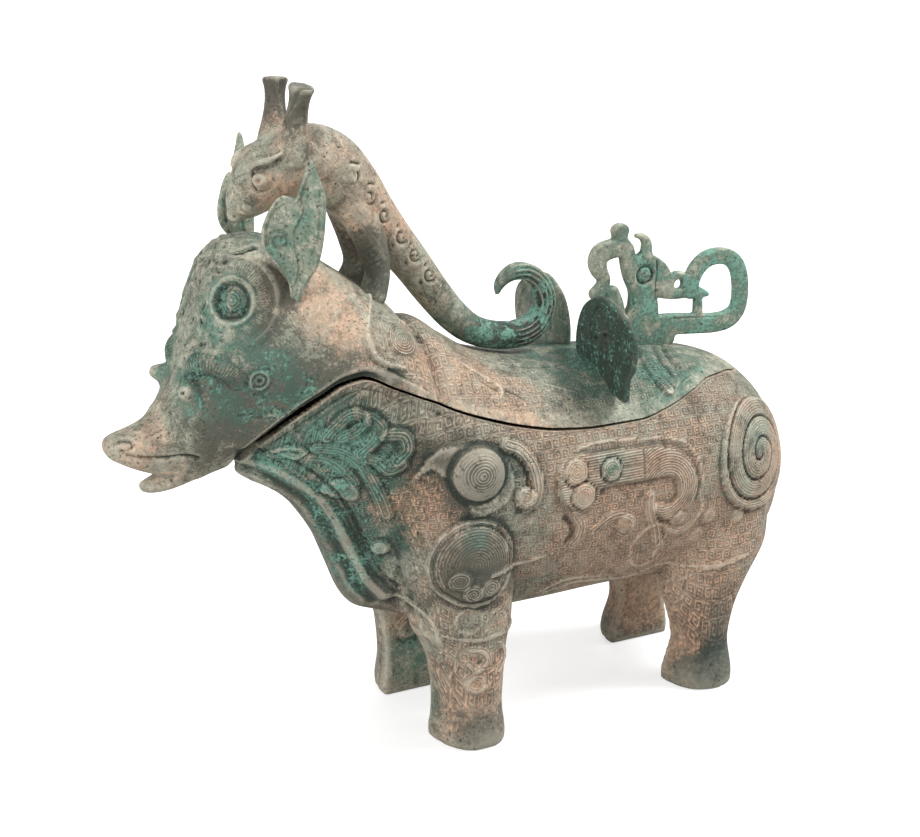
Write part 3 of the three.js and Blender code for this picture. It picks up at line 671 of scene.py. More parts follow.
def round_body(place):
    """Length round the body from the level of its axis, for a pattern that climbs its side."""
    return FLANK_RADIUS * np.arctan2(place[:, 2] - AXIS_LEVEL, place[:, 1] + 8)


def blot(work, name, places):
    """Adds soft round patches to a mask: each has a middle, a radius and a strength, and fades as a bell."""
    for x, y, z, radius, strength in places:
        gap = ((work.place - [x, y, z]) ** 2).sum(1) / radius**2
        work.masks[name] += strength * np.exp(-gap)


def hollowness(points, faces, edges, rounds):
    """How far each point lies below the mean of its surroundings, along its normal, in millimetres."""
    mean = points
    for _ in range(rounds):
        mean = averaged(mean, edges)
    return np.einsum("ij,ij->i", mean - points, normals_of(points, faces))


work.masks["ground"] = (1 - ease(0.25, 0.7, work.height)) * ease(17, 24, work_z)  # not on the feet
KEEL_LINE = [[-106, 133], [-92, 131], [-77, 118], [-64, 101], [-52, 76], [-40, 60], [-20, 50]]
below_line = column(KEEL_LINE, 1)(work_x) - work_z
work.masks["ground"] *= 1 - ease(0, 3, below_line) * (work_x < -30)
work.masks["rough"] = 0.35 * ease(-50, -72, work_x)
work.masks["ground"] *= ease(0.35, 0.6, np.linalg.norm(work.normals[:, :2], axis=1))
work.masks["ground"] *= 1 - ease(27, 22, work_out) * ease(60, 50, work_z)
blot(work, "lush", [
    (-66, 28, 143, 22, 1.0), (-100, 10, 134, 10, 0.8), (-82, 20, 135, 16, 0.7), (-48, 24, 95, 16, 0.4),
    (-50, 32, 118, 20, 0.35), (-74, 12, 108, 12, 0.7), (-60, 14, 82, 14, 0.8), (-18, 47, 100, 10, 0.35),
    (-2, 46, 124, 8, 0.35), (47, 48, 121, 8, 0.4), (130, 42, 118, 9, 0.4), (70, 44, 78, 5, 0.5),
    (150, 25, 140, 16, 0.45), (-12, 21, 20, 16, 0.7), (111, 21, 22, 10, 0.4),
])
# Darkening blots: the five near the middle plane along the chest, from x -86 to -50, are painted shade where
# the ridge shades the band below it; the rest are darker patches of the patina.
blot(work, "dusk", [
    (114, 54, 30, 18, 1.4), (114, 50, 4, 19, 4.0), (-12, 47, 4, 13, 1.3), (-86, 11, 118, 9, 1.0),
    (-74, 11, 106, 10, 1.2), (-64, 12, 92, 10, 1.2), (-58, 13, 76, 10, 1.2), (-50, 15, 64, 12, 0.8),
    (-19, 46, 86, 14, 1.5), (-16, 47, 127, 12, 1.0), (-34, 38, 128, 14, 0.6), (18, 45, 60, 12, 0.4),
    (-60, 26, 150, 16, 0.4), (-50, 30, 112, 18, 0.3),
])
blot(work, "earth", [
    (60, 48, 90, 40, 0.6), (-12, 47, 25, 26, 0.35), (112, 42, 70, 22, 0.3), (155, 30, 110, 22, 0.5),
    (111, 21, 30, 20, 1.5), (-12, 21, 35, 16, 0.45), (-40, 32, 116, 20, 0.9), (-84, 22, 132, 16, 0.3),
    (96, 46, 66, 24, 0.3),
])


# %% [markdown]
# Vessel and lid are cut from their skins by the seam, and hollowed by a second, smaller skin. The
# manifold boolean is fast and keeps both clean; the prism that cuts along the seam is made from the same
# curve.

# %% Cutting and hollowing


def seam_prism(sign, gap_share, first_x=-175):
    """Block with one face along the seam, shifted by a share of the gap, that reaches far up or down."""
    x = np.linspace(first_x, 175, 240)
    edge = seam_height(x) + gap_share * seam_gap(x)
    away = np.full(len(x), edge.mean() + sign * 300)
    outline = np.stack([np.r_[x, x[::-1]], np.r_[edge, away]], 1)
    rings = [np.insert(outline, 1, y, axis=1) for y in (-90.0, 90.0)]
    count = len(x)
    points = np.concatenate(rings)
    i = np.arange(count - 1)
    total = 2 * count
    front = np.concatenate([
        np.stack([i, i + 1, total - 1 - i], 1),
        np.stack([i + 1, total - 2 - i, total - 1 - i], 1),
    ])
    j = np.arange(total)
    k = (j + 1) % total
    wall = np.concatenate([np.stack([j, j + total, k], 1), np.stack([k, j + total, k + total], 1)])
    return facing_out(points, np.concatenate([front, front[:, ::-1] + total, wall]))


def cut(points, faces, masks, cutter, operation="DIFFERENCE"):
    """Boolean of one shell with another; the masks come through it, and are nought on the new inner faces."""
    obj = bpy.data.objects.new("cutter", loose_mesh("cutter", *cutter))
    bpy.context.scene.collection.objects.link(obj)
    tool = ("BOOLEAN", {"operation": operation, "solver": "MANIFOLD", "object": obj})
    result = worked(points, faces, tool, masks=masks)
    bpy.data.objects.remove(obj)
    return result


def inset(rings, wall):
    """The same rings moved inwards along the surface normal by the wall's thickness."""
    along = np.gradient(rings, axis=0)
    around = np.roll(rings, -1, 1) - np.roll(rings, 1, 1)
    normal = np.cross(along, around)
    normal /= np.maximum(np.linalg.norm(normal, axis=2), 1e-9)[..., None]
    outward = np.sign((normal * (rings - rings.mean(1, keepdims=True))).sum())
    return rings - outward * normal * wall


VESSEL_WALL = 3.8
LID_WALL = 3.2
belly_hollow = fused([
    tube(inset(section_rings(TORSO, TORSO_ROUND, 40, 48), VESSEL_WALL)[2:-2]),
    tube(inset(chest_rings(30, 16), VESSEL_WALL)[2:-1]),
], 2.5, 2)[:2]


def shaped(points, faces, edges, work):
    """Moves each point along its normal by the relief, then fills the mask that reads the new shape."""
    points = points + work.normals * work.height[:, None]
    # The finish darkens what this finds hollow, as painted shade.
    work.masks["hollow"] = hollowness(points, faces, edges, 5)
    return points


vessel_points = shaped(vessel_points, vessel_faces, vessel_edges, work)
work.masks["across"] = work_x
work.masks["up"] = round_body(work.place)
vessel_cut = cut(vessel_points, vessel_faces, work.masks, seam_prism(1, 0))
vessel_cut = cut(*vessel_cut, belly_hollow)
print("vessel cut:", len(vessel_cut[1]), "triangles")

# %% [markdown]
# Shader sums are easier to read as Python. One small class holds an output socket, and its operators add
# the Math nodes; every other node comes from one method.


# %% Shader arithmetic
class Wire:
    """An output socket of a shader tree that understands arithmetic."""

    def __init__(self, tree, socket=None):
        self.tree = tree
        self.socket = socket

    def node(self, kind, settings=None, inputs=None, output=0, stops=None):
        """Any node by its type: its settings first, then the stops of a ramp, then values or links."""
        made = self.tree.nodes.new("ShaderNode" + kind)
        for name, value in (settings or {}).items():
            setattr(made, name, value)
        if stops:
            ramp = made.color_ramp.elements
            while len(ramp) < len(stops):
                ramp.new(0.5)
            for element, (place, colour) in zip(ramp, stops):
                element.position = place
                element.color = (*colour, 1)
        for key, value in (inputs or {}).items():
            if isinstance(value, Wire):
                self.tree.links.new(value.socket, made.inputs[key])
            else:
                made.inputs[key].default_value = value
        return Wire(self.tree, made.outputs[output] if made.outputs else None)

    def math(self, operation, *values):
        """A Math node of the given operation on this socket and others."""
        return self.node("Math", {"operation": operation}, dict(enumerate((self, *values))))

    def __add__(self, other):
        return self.math("ADD", other)

    def __radd__(self, other):
        return self.math("ADD", other)

    def __mul__(self, other):
        return self.math("MULTIPLY", other)

    def __rmul__(self, other):
        return self.math("MULTIPLY", other)

    def __sub__(self, other):
        return self.math("SUBTRACT", other)

    def __rsub__(self, other):
        return self.node("Math", {"operation": "SUBTRACT"}, {0: other, 1: self})

    def __truediv__(self, other):
        return self.math("DIVIDE", other)

    def __abs__(self):
        return self.math("ABSOLUTE")

    def steps(self, low_edge, high_edge):
        """Smooth step from nought to one between two values."""
        settings = {"interpolation_type": "SMOOTHSTEP"}
        inputs = {"Value": self, "From Min": low_edge, "From Max": high_edge, "To Min": 0.0, "To Max": 1.0}
        return self.node("MapRange", settings, inputs)

    def noise(self, scale, detail=4.0, roughness=0.55, distortion=0.0):
        """Noise at this many features a metre, read at this vector."""
        inputs = {"Vector": self, "Scale": scale, "Detail": detail, "Roughness": roughness}
        return self.node("TexNoise", None, {**inputs, "Distortion": distortion})

    def mask(self, name):
        """One of the surface's own attributes."""
        return self.node("Attribute", {"attribute_name": name}, output=2)


def blended(base, over, amount, way="MIX"):
    """Colour mixed over another by an amount; each colour is three numbers or a wire."""
    tree = amount.tree
    settings = {"data_type": "RGBA", "blend_type": way, "clamp_factor": True}
    inputs = {0: amount}
    for slot, colour in ((6, base), (7, over)):
        inputs[slot] = colour if isinstance(colour, Wire) else (*colour, 1)
    return Wire(tree).node("Mix", settings, inputs, output=2)


def shade(red, green, blue):
    """Colour as seen on screen, 0 to 255, to the linear values a shader wants."""
    screen = np.array([red, green, blue]) / 255
    return tuple(np.where(screen <= 0.04045, screen / 12.92, ((screen + 0.055) / 1.055) ** 2.4).tolist())


# %% [markdown]
# The squared spirals of the ground, called thunder pattern, are too fine for the mesh. In a square cell
# the larger of the two offsets from its middle is a square "radius"; taking off a share of the turn makes
# the square rings wind inwards, and a saw-tooth of the result is one engraved thread.

# %% The thunder pattern
CELL = 4.0  # millimetres, the side of one squared spiral


def thunder(tree):
    """Height of the squared spirals: nought in the threads, one between them."""
    wire = Wire(tree)
    u = wire.mask("across") / CELL
    v = wire.mask("up") / CELL
    odd = (u.math("FLOOR") + v.math("FLOOR")).math("PINGPONG", 1.0)
    flip = 1 - odd * 2
    du = (u.math("FRACT") - 0.5) * flip
    dv = v.math("FRACT") - 0.5
    ring = abs(du).math("MAXIMUM", abs(dv))
    turn = dv.math("ARCTAN2", du) / (2 * np.pi)
    wave = abs((ring * (CELL / THREAD) - turn).math("FRACT") - 0.5) * 2
    return wave.steps(0.25, 0.75)


def threads(tree):
    """Height of the parallel threads that follow bands and discs."""
    wave = abs((Wire(tree).mask("thread") / THREAD).math("FRACT") - 0.5) * 2
    return wave.steps(0.2, 0.8)


# %% [markdown]
# Three thousand years in the ground have left the bronze almost without shine. From the metal outwards
# there are a smooth grey-green skin, browner patches where it is thin, verdigris in crusts and sheltered
# places, and a pink-brown earth that stayed in every engraved line.
# Over these layers, hollows and a few places in shadow are darkened: that is painted shade.

# %% The patina


def bronze(name, green=0.0, warm=0.0, dark=0.0):
    """Layers by place and depth: skin, patches, verdigris, painted shade in hollows and blots, earth, dark
    grooves, worn edges, and pits.
    """
    made = bpy.data.materials.new(name)
    made.use_nodes = True
    tree = made.node_tree
    tree.nodes.clear()
    wire = Wire(tree)
    where = wire.node("TexCoord", output="Object")
    apart = where.node("VectorMath", {"operation": "ADD"}, {0: where, 1: (0.37, 0.11, 0.71)})
    lush, earth, hollow = wire.mask("lush") + green, wire.mask("earth"), wire.mask("hollow")
    # Darker patina and painted shade from the blots, plus this copy's own extra darkening.
    dusk = wire.mask("dusk") + dark
    broad = where.noise(24, 5, 0.6, 0.4)
    patch = where.noise(95, 6, 0.68, 0.5)
    other = apart.noise(105, 6, 0.7, 0.6)
    fine = where.noise(480, 5, 0.7)
    grain = where.noise(1400, 3, 0.7)
    speck = apart.noise(700, 4, 0.75)
    wear = (patch * 0.6 + fine * 0.5).steps(0.36, 0.6)
    squares = wire.mask("ground") * (1 - thunder(tree))
    lines = wire.mask("threads") * (1 - threads(tree))
    engraved = squares.math("MAXIMUM", lines) * (0.25 + wear * 0.65)
    grown = lush * (0.15 + other.steps(0.36, 0.6) * 1.1)

    warmth = (broad * 0.7 + patch * 0.45 + earth * 0.4 - lush * 0.4).steps(0.46 - warm, 0.72 - warm)
    colour = blended(SKIN_GREEN, SKIN_BROWN, warmth)
    colour = blended(colour, SKIN_PALE, (fine * 0.6 + speck * 0.5).steps(0.54, 0.68) * 0.75)
    # Dark patches: random ones of the patina, and painted shade where the darkening blots lie.
    dark_patch_and_shade = (other * 0.5 + grain * 0.2 + speck * 0.4 + dusk * 0.22).steps(0.53, 0.64)
    colour = blended(colour, SKIN_DARK, dark_patch_and_shade * 0.85)
    verdure = (grown * 0.7 + patch * 0.35 + speck * 0.35).steps(0.45, 0.8)
    colour = blended(colour, VERDIGRIS, verdure * 0.85)
    shaded = (hollow * 1.1 + grown * 0.35 + speck * 0.6 + dusk * 0.3).steps(0.5, 0.9)
    colour = blended(colour, DEEP_GREEN, shaded * 0.85)
    crust = (grown * 0.3 + patch * 0.5 + speck * 0.9).steps(0.86, 1.06)
    colour = blended(colour, TURQUOISE, crust * 0.8)
    soil = broad * 0.3 + patch * 0.6 + speck * 0.6 + earth * 0.42 + warm - lush * 0.4 - dusk * 0.16
    soil = soil.steps(0.78, 0.98)
    # Engraved lines keep a dark fill, and hollows take the same dark colour as painted shade.
    groove_fill_and_shade = engraved.math("MAXIMUM", hollow.steps(0.12, 0.5) * 0.65)
    colour = blended(colour, EARTH, (0.25 + (fine - 0.45).math("MAXIMUM", 0.0) * 3.5) * soil)
    colour = blended(colour, GROOVE, groove_fill_and_shade * (0.3 + other * 0.55))
    ridge = (hollow * -1.8 + fine * 0.5 - engraved - grown * 0.4).steps(0.3, 0.8)
    colour = blended(colour, SKIN_PALE, ridge * 0.35)
    rough_place = wire.mask("rough")
    pits = (1 - speck.steps(0.32, 0.42)) * (patch + rough_place * 0.4).steps(0.42, 0.55)
    colour = blended(colour, GROOVE, pits * 0.85)

    lumps = where.noise(260, 3, 0.6) * rough_place * 0.0042
    height = (1 - engraved) * 0.0004 + fine * 0.0005 + grain * 0.0002 + patch * 0.0006 - pits * 0.0006 + lumps
    bump = wire.node("Bump", None, {"Strength": 1.0, "Distance": 1.0, "Height": height})
    rough = 0.56 + grain * 0.2 + soil * 0.12 - ridge * 0.12
    metal = 0.12 + ridge * 0.15 - soil * 0.1 - crust * 0.1
    inputs = {"Base Color": colour, "Roughness": rough, "Metallic": metal, "Normal": bump}
    surface = wire.node("BsdfPrincipled", None, {**inputs, "Specular IOR Level": 0.4})
    wire.node("OutputMaterial", None, {"Surface": surface})
    return made


SKIN_GREEN = shade(144, 150, 133)
SKIN_BROWN = shade(166, 153, 134)
SKIN_PALE = shade(206, 199, 181)
SKIN_DARK = shade(76, 74, 64)
VERDIGRIS = shade(85, 114, 99)
DEEP_GREEN = shade(38, 56, 48)
TURQUOISE = shade(122, 168, 150)
EARTH = shade(210, 168, 138)
GROOVE = shade(46, 42, 35)
vessel_patina = bronze("vessel_patina", warm=0.05)
lid_patina = bronze("lid_patina")
openwork_patina = bronze("openwork_patina", green=0.25)
# The near wing plate gets a darker copy, painted shade on its face turned from the light; the ears and the
# far wing share a lighter copy, which on the far wing is painted light.
shaded_wing_patina = bronze("shaded_wing_patina", dark=1.5)
ear_and_lit_wing_patina = bronze("ear_and_lit_wing_patina", dark=-0.4)
print("patinas:", [material.name for material in bpy.data.materials if material.name.endswith("patina")])

# %% [markdown]
# Publishing writes a finished piece into the scene: in metres, at the origin, with its masks, its patina
# and its place on the body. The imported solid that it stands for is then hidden.

# %% Publish a piece


def publish(name, points, faces, masks, material, slot, node):
    """Object at the origin with smooth faces and masks, riding the root and replacing its node."""
    masks = {mask: masks.get(mask, np.zeros(len(points))) for mask in MASKS}
    mesh = loose_mesh(name, in_frame(points), faces, masks)
    mesh.polygons.foreach_set("use_smooth", np.ones(len(faces), bool))
    mesh.materials.append(material)
    obj = bpy.data.objects.new(name, mesh)
    bpy.context.scene.collection.objects.link(obj)
    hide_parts(node)
    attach(obj, "root")
    print(name, len(faces), "triangles")
    return obj


publish("vessel_cast", *vessel_cut, vessel_patina, "vessel_bronze", "vessel")

# %% [markdown]
# The lid is the beast's head, neck and back. On the head sit conical eyes, striated brows, and two coiled
# mounds under the ears; they are separate shells before the skin is fused, so that they grow out of it.

# %% Fuse the head and back
LID_VOXEL = 0.85
THROAT_X = -109.5  # in front of this the neck is whole, because the pouring lip ends here
JAW = [[-145, 129, 4.4], [-142, 129.2, 6], [-136, 130.3, 7.6], [-128, 133, 9], [-118, 137, 9.8]]
lid_shells = [tube(torso_rings), tube(neck_rings)]
lid_shells.append(bar([[x, 0, z] for x, z, _ in JAW], [0.52 * r for _, _, r in JAW], flat=1.7))
EYE_CONE = [[-125, 12, 169.8], [-129, 15.2, 170.8], [-132, 17.4, 171.4]]
BROW = [[-129, 9, 177.5], [-125.5, 14, 181], [-120, 18.5, 182], [-115, 21.5, 179.5], [-112, 22.5, 176]]
for side in (-1, 1):
    mirror = [1, side, 1]
    lid_shells.append(ball(np.multiply([-99, 14, 206], mirror), [17, 13.5, 18.5]))
    lid_shells.append(ball(np.multiply([-126.5, 12.5, 170], mirror), [6.2, 5.6, 6.2]))
    lid_shells.append(bar(np.multiply(EYE_CONE, mirror), [5.4, 4.4, 3.0]))
    lid_shells.append(bar(np.multiply(BROW, mirror), [1.2, 3.0, 4.6, 4.6, 2.6]))
    lid_shells.append(ball(np.multiply([-103, 24, 175], mirror), [4.4, 2.6, 4.4]))
lid_points, lid_faces, lid_edges = fused(lid_shells, LID_VOXEL, 4)

# %% [markdown]
# Around the dished coils run rows of short hairs, which the finish draws as threads whose phase is the
# angle. The back of the lid carries a collar, long grooved feathers and the brows and eyes of an
# elephant's mask.

# %% Relief of the head and back
head = Relief(lid_points, normals_of(lid_points, lid_faces))
head_x, head_out, head_z = head.place.T
SPACE = (0, 1, 2)


def carve(points, width, height, closed=False, taper=0.0):
    """A stroke measured through space, for surfaces that turn every way."""
    head.cord(points, width, height, SPACE, closed, taper, mask=1.0)


# The snout's nostril and mouth, its wrinkles, and small cuts round the eye and in the coil.
SNOUT_NOSTRIL = [
    [-157.9, 5.5, 147.7], [-157.8, 4.8, 150.3], [-155.1, 5.6, 151.8], [-152.2, 7.2, 151.3],
    [-151.7, 8.5, 149.4], [-154.2, 8.3, 147.9], [-156, 7.5, 148.3],
]
SNOUT_MOUTH = [
    [-153.6, 8.4, 146.4], [-147.8, 10.0, 144.9], [-139.9, 11.9, 144.2], [-133.1, 13.3, 144.6],
    [-129.1, 14.1, 143.9], [-126.5, 14.7, 142.5],
]
carve(SNOUT_NOSTRIL, 1.1, -1.0)
carve(SNOUT_MOUTH, 1.2, -1.1)
for wrinkle in (
    [[-150, 5.5, 153.2], [-147, 6.4, 154.6], [-143.5, 7.5, 155]],
    [[-146, 8.4, 152.6], [-142, 9, 154.2], [-138.5, 9.8, 155.6]],
    [[-141, 11, 152.4], [-137, 12, 154.4], [-135, 11.5, 157]],
    [[-148, 3, 154.8], [-144, 3.4, 156], [-140, 3.6, 158]],
):
    carve(wrinkle, 0.9, -0.6)
carve([[-119.1, 11.0, 204.7], [-120.8, 10.2, 200.5], [-121.5, 11.5, 197.4]], 1.3, -2.0)
carve([[-107.8, 10.7, 222.5], [-104.5, 12.5, 224], [-98.3, 12.5, 225.5]], 1.6, -2.4)
carve([[-133.4, 18.4, 172], [-133.6, 18.6, 172], [-133.8, 18.8, 172]], 1.4, -2.2)
carve([[-133, 8, 131.6], [-135.5, 7.5, 128.8], [-139, 5.5, 127]], 0.9, -0.6)

# The dished coil in front of the ear: a sunk ring round a knob, ringed by hairs.
COIL = np.array([-112.0, 20.5, 207.2])
coil_gap = head.place - COIL
coil_distance = np.linalg.norm(coil_gap, axis=1)
coil_side = coil_gap @ np.array([0.755, 0.655, 0.0])
coil_turn = np.arctan2(coil_gap[:, 2], coil_side)
head.height -= 2.6 * (1 - ease(7.2, 8.8, coil_distance))
head.height += 0.4 * (1 - ease(0.2, 0.9, np.abs(coil_distance - 9.0)))
head.height += 2.2 * (1 - ease(0, 4.6, coil_distance))
head.rule(0.8 * (1 - ease(4.2, 4.6, coil_distance)), coil_distance - THREAD * coil_turn / (2 * np.pi))
head.rule(0.7 * ease(4.8, 5.2, coil_distance) * (1 - ease(7.8, 8.2, coil_distance)), 9.0 * coil_turn)
hair = ease(10.0, 10.8, coil_distance) * (1 - ease(14, 18, coil_distance)) * ease(-116, -110, head_x)
head.rule(0.6 * hair, 14.5 * coil_turn)
mound = ease(15.5, 17.5, coil_distance) * (1 - ease(17.5, 21, coil_distance))
head.height += 0.7 * mound * ease(-112, -104, head_x)
brow_path = traced(BROW, 0.4)
brow_distance, brow_along = head.away(brow_path, 7, SPACE)
brow_pad = 1 - ease(4.2, 5.2, brow_distance)
head.rule(0.75 * brow_pad, brow_along * 0.4 * len(brow_path))
for radius in (1.6, 3.6):
    gap = np.abs(np.linalg.norm(head.place - [-103.9, 26.5, 175.2], axis=1) - radius)
    head.height += 0.7 * (1 - ease(0.2, 1.0, gap))

# The collar, the rim above the seam, a coil on the nape, and the feathers that leave it.
COLLAR = [
    [-46, 0, 204], [-50.6, 15.8, 200.8], [-56.1, 26.2, 196], [-59.1, 31.5, 190.2], [-58.9, 33.8, 185.4],
    [-57.1, 35.4, 180.5], [-52, 36.6, 177], [-45.7, 37, 174.7],
]
carve(COLLAR, 1.7, 1.2)
carve(np.array(COLLAR) - [2.4, 0, 0.6], 1.4, -0.8)
RIM_LINE = [
    [-52.5, 37.5, 175.6], [-42.6, 38.6, 169.4], [-31.8, 38, 162.6], [-21.5, 38.5, 157.4], [-9.3, 39.8, 152],
    [7.2, 40, 147.6], [28.4, 40.6, 144.2], [50.5, 41, 142.8], [75, 41.5, 143.6], [97, 37.5, 148],
    [118, 31, 150], [134, 24, 147.5],
]
carve(RIM_LINE, 1.0, -0.8)
NAPE_COIL = np.array([-43.5, 30.5, 185.0])
nape_gap = head.place - NAPE_COIL
nape_distance = np.linalg.norm(nape_gap, axis=1)
nape_turn = np.arctan2(nape_gap[:, 2], nape_gap[:, 0]) / (2 * np.pi)
head.height += 0.9 * (1 - ease(7.0, 8.2, nape_distance))
head.rule(1 - ease(7.2, 7.8, nape_distance), nape_distance - THREAD * nape_turn)
FEATHER = [
    [-47, 24, 192.5], [-38, 20, 188.5], [-28.3, 17, 181.5], [-21.9, 20.2, 175.5], [-14.7, 24.5, 169.8],
    [-5.5, 27.5, 163.5], [1.2, 29.4, 159.5], [2.8, 32.5, 156.5], [-1.5, 36.5, 155], [-5.8, 37.5, 157.5],
]
carve(FEATHER, 1.5, 1.1)
carve(np.array(FEATHER[:7]) + [-0.6, 2.2, -2.0], 1.3, -0.8)
carve([[5.6, 31, 156.7], [10.9, 33.1, 153.8], [17, 36.5, 150.5], [28.1, 38.3, 147.2]], 1.2, -0.9)
carve([[8, 26, 160.3], [20.0, 26.2, 158], [30, 29.5, 154.3], [40, 33.2, 151.1], [53, 37.5, 147.6]], 1.2, 0.9)
carve([[-20, 8, 181], [-8, 12, 172.8], [6, 15, 165.2], [22, 17, 161.2], [38, 18, 159.6]], 1.1, -0.7)

# Three padded bands of the elephant's mask, each with threads across it.
for pad, width, rise in (
    ([[88, 10, 159.2], [83.5, 20.5, 156.3], [82.6, 28, 151.2], [85.5, 34, 145.6]], 2.6, 1.0),
    ([[97, 6, 157.6], [92.5, 19, 155.2], [92.5, 27.5, 150.2]], 1.5, 0.8),
    ([[104, 6, 156.6], [101, 14, 156], [99.5, 21.5, 153.4]], 3.0, 0.9),
):
    path = traced(pad, 0.4)
    distance, along = head.away(path, width + 2, SPACE)
    amount = 1 - ease(width - 0.5, width + 0.5, distance)
    head.height += rise * amount
    head.rule(amount, along * 0.4 * len(path))
carve([[106, 9, 156.2], [103, 16.5, 155], [100.5, 24, 151.8], [95.5, 25, 152.5], [97, 14, 156]], 0.9, -0.7)
MASK_CURL = [
    [100.8, 29, 148.2], [94.7, 32.3, 147.2], [95.2, 35, 145], [103.7, 33.2, 146.3], [116.3, 28.6, 146.6],
    [123.4, 22.6, 147.5],
]
carve(MASK_CURL, 1.2, 0.9)

# The lid's edge steps back over the pouring lip.
over_seam = head_z - seam_height(head_x) - seam_gap(head_x)
rebate = (1 - ease(1.6, 3.2, over_seam)) * ease(-52, -64, head_x) * ease(-112, -106, head_x)
head.height -= 2.6 * rebate

# Corrosion left bumps and pits all over the forehead, but not on the eyes, brows and coils.
LUMPS = 150
PIT_TO_LUMP = ([0.8, -0.9], [2.0, 1.1])  # smallest and largest radius and rise
eye_gap = np.linalg.norm(head.place - [-130, 14, 174], axis=1)
pitted = ease(10, 14, coil_distance) * ease(12, 17, eye_gap) * ease(5, 8, brow_distance)
pitted *= ease(-96, -112, head_x) * (1 - ease(13, 22, head_out)) * ease(152, 166, head_z)
chance = np.random.default_rng(4)
lump_places = head.place[chance.choice(np.flatnonzero(pitted > 0.3), LUMPS)]
lump_sizes = chance.uniform(*PIT_TO_LUMP, (LUMPS, 2))
for place, (radius, rise) in zip(lump_places, lump_sizes):
    gap = ((head.place - place) ** 2).sum(1)
    close = gap < 9 * radius**2
    head.height[close] += (rise * np.exp(-gap[close] / radius**2)) * pitted[close]
pitted = np.maximum(pitted, 0.8 * ease(212, 222, head_z) * ease(-88, -98, head_x))
print("lid relief from", head.height.min().round(2), "to", head.height.max().round(2), "mm")

# %% Cut and publish the head and back
behind_collar = ease(-56, -52, head_x + 0.18 * (head_z - 180))
above_rim = ease(0.5, 1.5, head_z - column(RIM_LINE, 2)(head_x))
head.masks["ground"] = behind_collar * above_rim * (1 - ease(0.25, 0.7, head.height)) * 0.8
head.masks["ground"] *= 1 - ease(57, 75, head_x) * ease(22, 14, head_out) * 0.5
head.masks["across"] = head_x
head.masks["up"] = round_body(head.place)
# Darkening blots: the two under the ear, at x -99 and -92, are its painted shadow on the head, and the one at
# x -124 is painted shade under the brow; the rest are darker patches of the patina.
blot(head, "dusk", [
    (-50, 37, 172, 5, 0.8), (-99, 24, 196, 6, 0.8), (-92, 27, 212, 9, 0.9), (60, 14, 162, 16, 0.5),
    (-118, 22, 148, 18, 0.45), (-106, 27, 168, 18, 0.5), (-80, 33, 170, 16, 0.6), (-124, 20, 176, 9, 0.5),
])
# Painted shade: the recessed strip along the lid's edge over the pouring lip is darkened as the shadow in its
# gap.
head.masks["dusk"] += 3 * rebate
blot(head, "lush", [
    (-122, 14, 190, 22, 0.4), (-114, 20, 207, 10, 0.9), (-127, 14, 172, 10, 0.6), (-104, 26, 182, 15, 0.3),
    (-84, 32, 168, 18, 0.2), (-112, 22, 155, 12, 0.2), (60, 22, 156, 26, 0.5), (100, 16, 152, 26, 0.5),
    (40, 6, 160, 26, 0.4), (84, 30, 150, 14, 0.3), (-88, 30, 162, 20, 0.3), (-112, 24, 160, 20, 0.1),
    (-95, 0, 228, 14, 0.4),
])
blot(head, "earth", [
    (-150, 8, 148, 14, 0.3), (-102, 28, 158, 22, 0.6), (-68, 33, 184, 18, 0.25), (-76, 26, 205, 18, 0.4),
    (-25, 32, 167, 24, 0.35), (10, 32, 155, 20, 0.25),
])
lid_points = shaped(lid_points, lid_faces, lid_edges, head)
head.masks["rough"] = pitted
head_hollow = fused([
    tube(inset(section_rings(TORSO, TORSO_ROUND, 40, 48), LID_WALL)[2:-2]),
    tube(inset(section_rings(NECK, NECK_ROUND, 40, 40), LID_WALL)[14:-2]),
], 2.0, 2)[:2]
lid_cut = cut(lid_points, lid_faces, head.masks, seam_prism(-1, 1, THROAT_X))
lid_cut = cut(*lid_cut, head_hollow)
publish("lid_head_and_back", *lid_cut, lid_patina, "lid_bronze", "lid")

# %% [markdown]
# The dragon climbs up the neck and looks over the beast's head. Its body is one long bar that thins into
# a curled, fluted tail, with bottle-shaped horns, brows, nose scrolls and two forelegs planted on the
# neck.

# %% The dragon
DRAGON = [
    [-101.5, 236, 3.5], [-98.5, 240, 7.5], [-93, 246, 11.3], [-85.5, 252, 13.8], [-74, 256, 14.8],
    [-62, 253, 14.8], [-51, 242, 13.3], [-42, 231, 11], [-33, 220, 9.4], [-24, 209, 8.4], [-14, 195.5, 7.7],
    [-4, 183.5, 7.1], [6, 175.5, 6.5], [18, 171.5, 6.2], [30, 171, 6.2], [38.5, 175.5, 5.5], [42, 184, 4.9],
    [39.5, 192.5, 4.5], [33, 198, 4.2], [25, 198.5, 3.7], [19.5, 194.5, 2.7], [18, 190.2, 1.4],
]
HORN = [[-9, 8.5], [-3, 7.4], [3, 6.0], [8, 4.8], [14, 4.2], [18.5, 4.5], [21.3, 5.4], [22.4, 5.0]]
DRAGON_LEG = [[-52, 6, 236], [-46, 9, 221], [-44, 10.5, 209], [-47, 11.5, 199.5]]
DRAGON_BROW = [[-99.2, 7.6, 254.8], [-96.2, 10, 257.9], [-91.5, 12.6, 259.6], [-86.5, 14, 262]]
DRAGON_LID = [[-92, 10.2, 246], [-94.8, 10.6, 247.2], [-98.6, 8.4, 247.6]]
spine_places, spine_radii = [[x, 0, z] for x, z, _ in DRAGON], [radius for _, _, radius in DRAGON]
dragon_shells = [bar(spine_places, spine_radii, flat=0.97, step=0.8, around=40)]
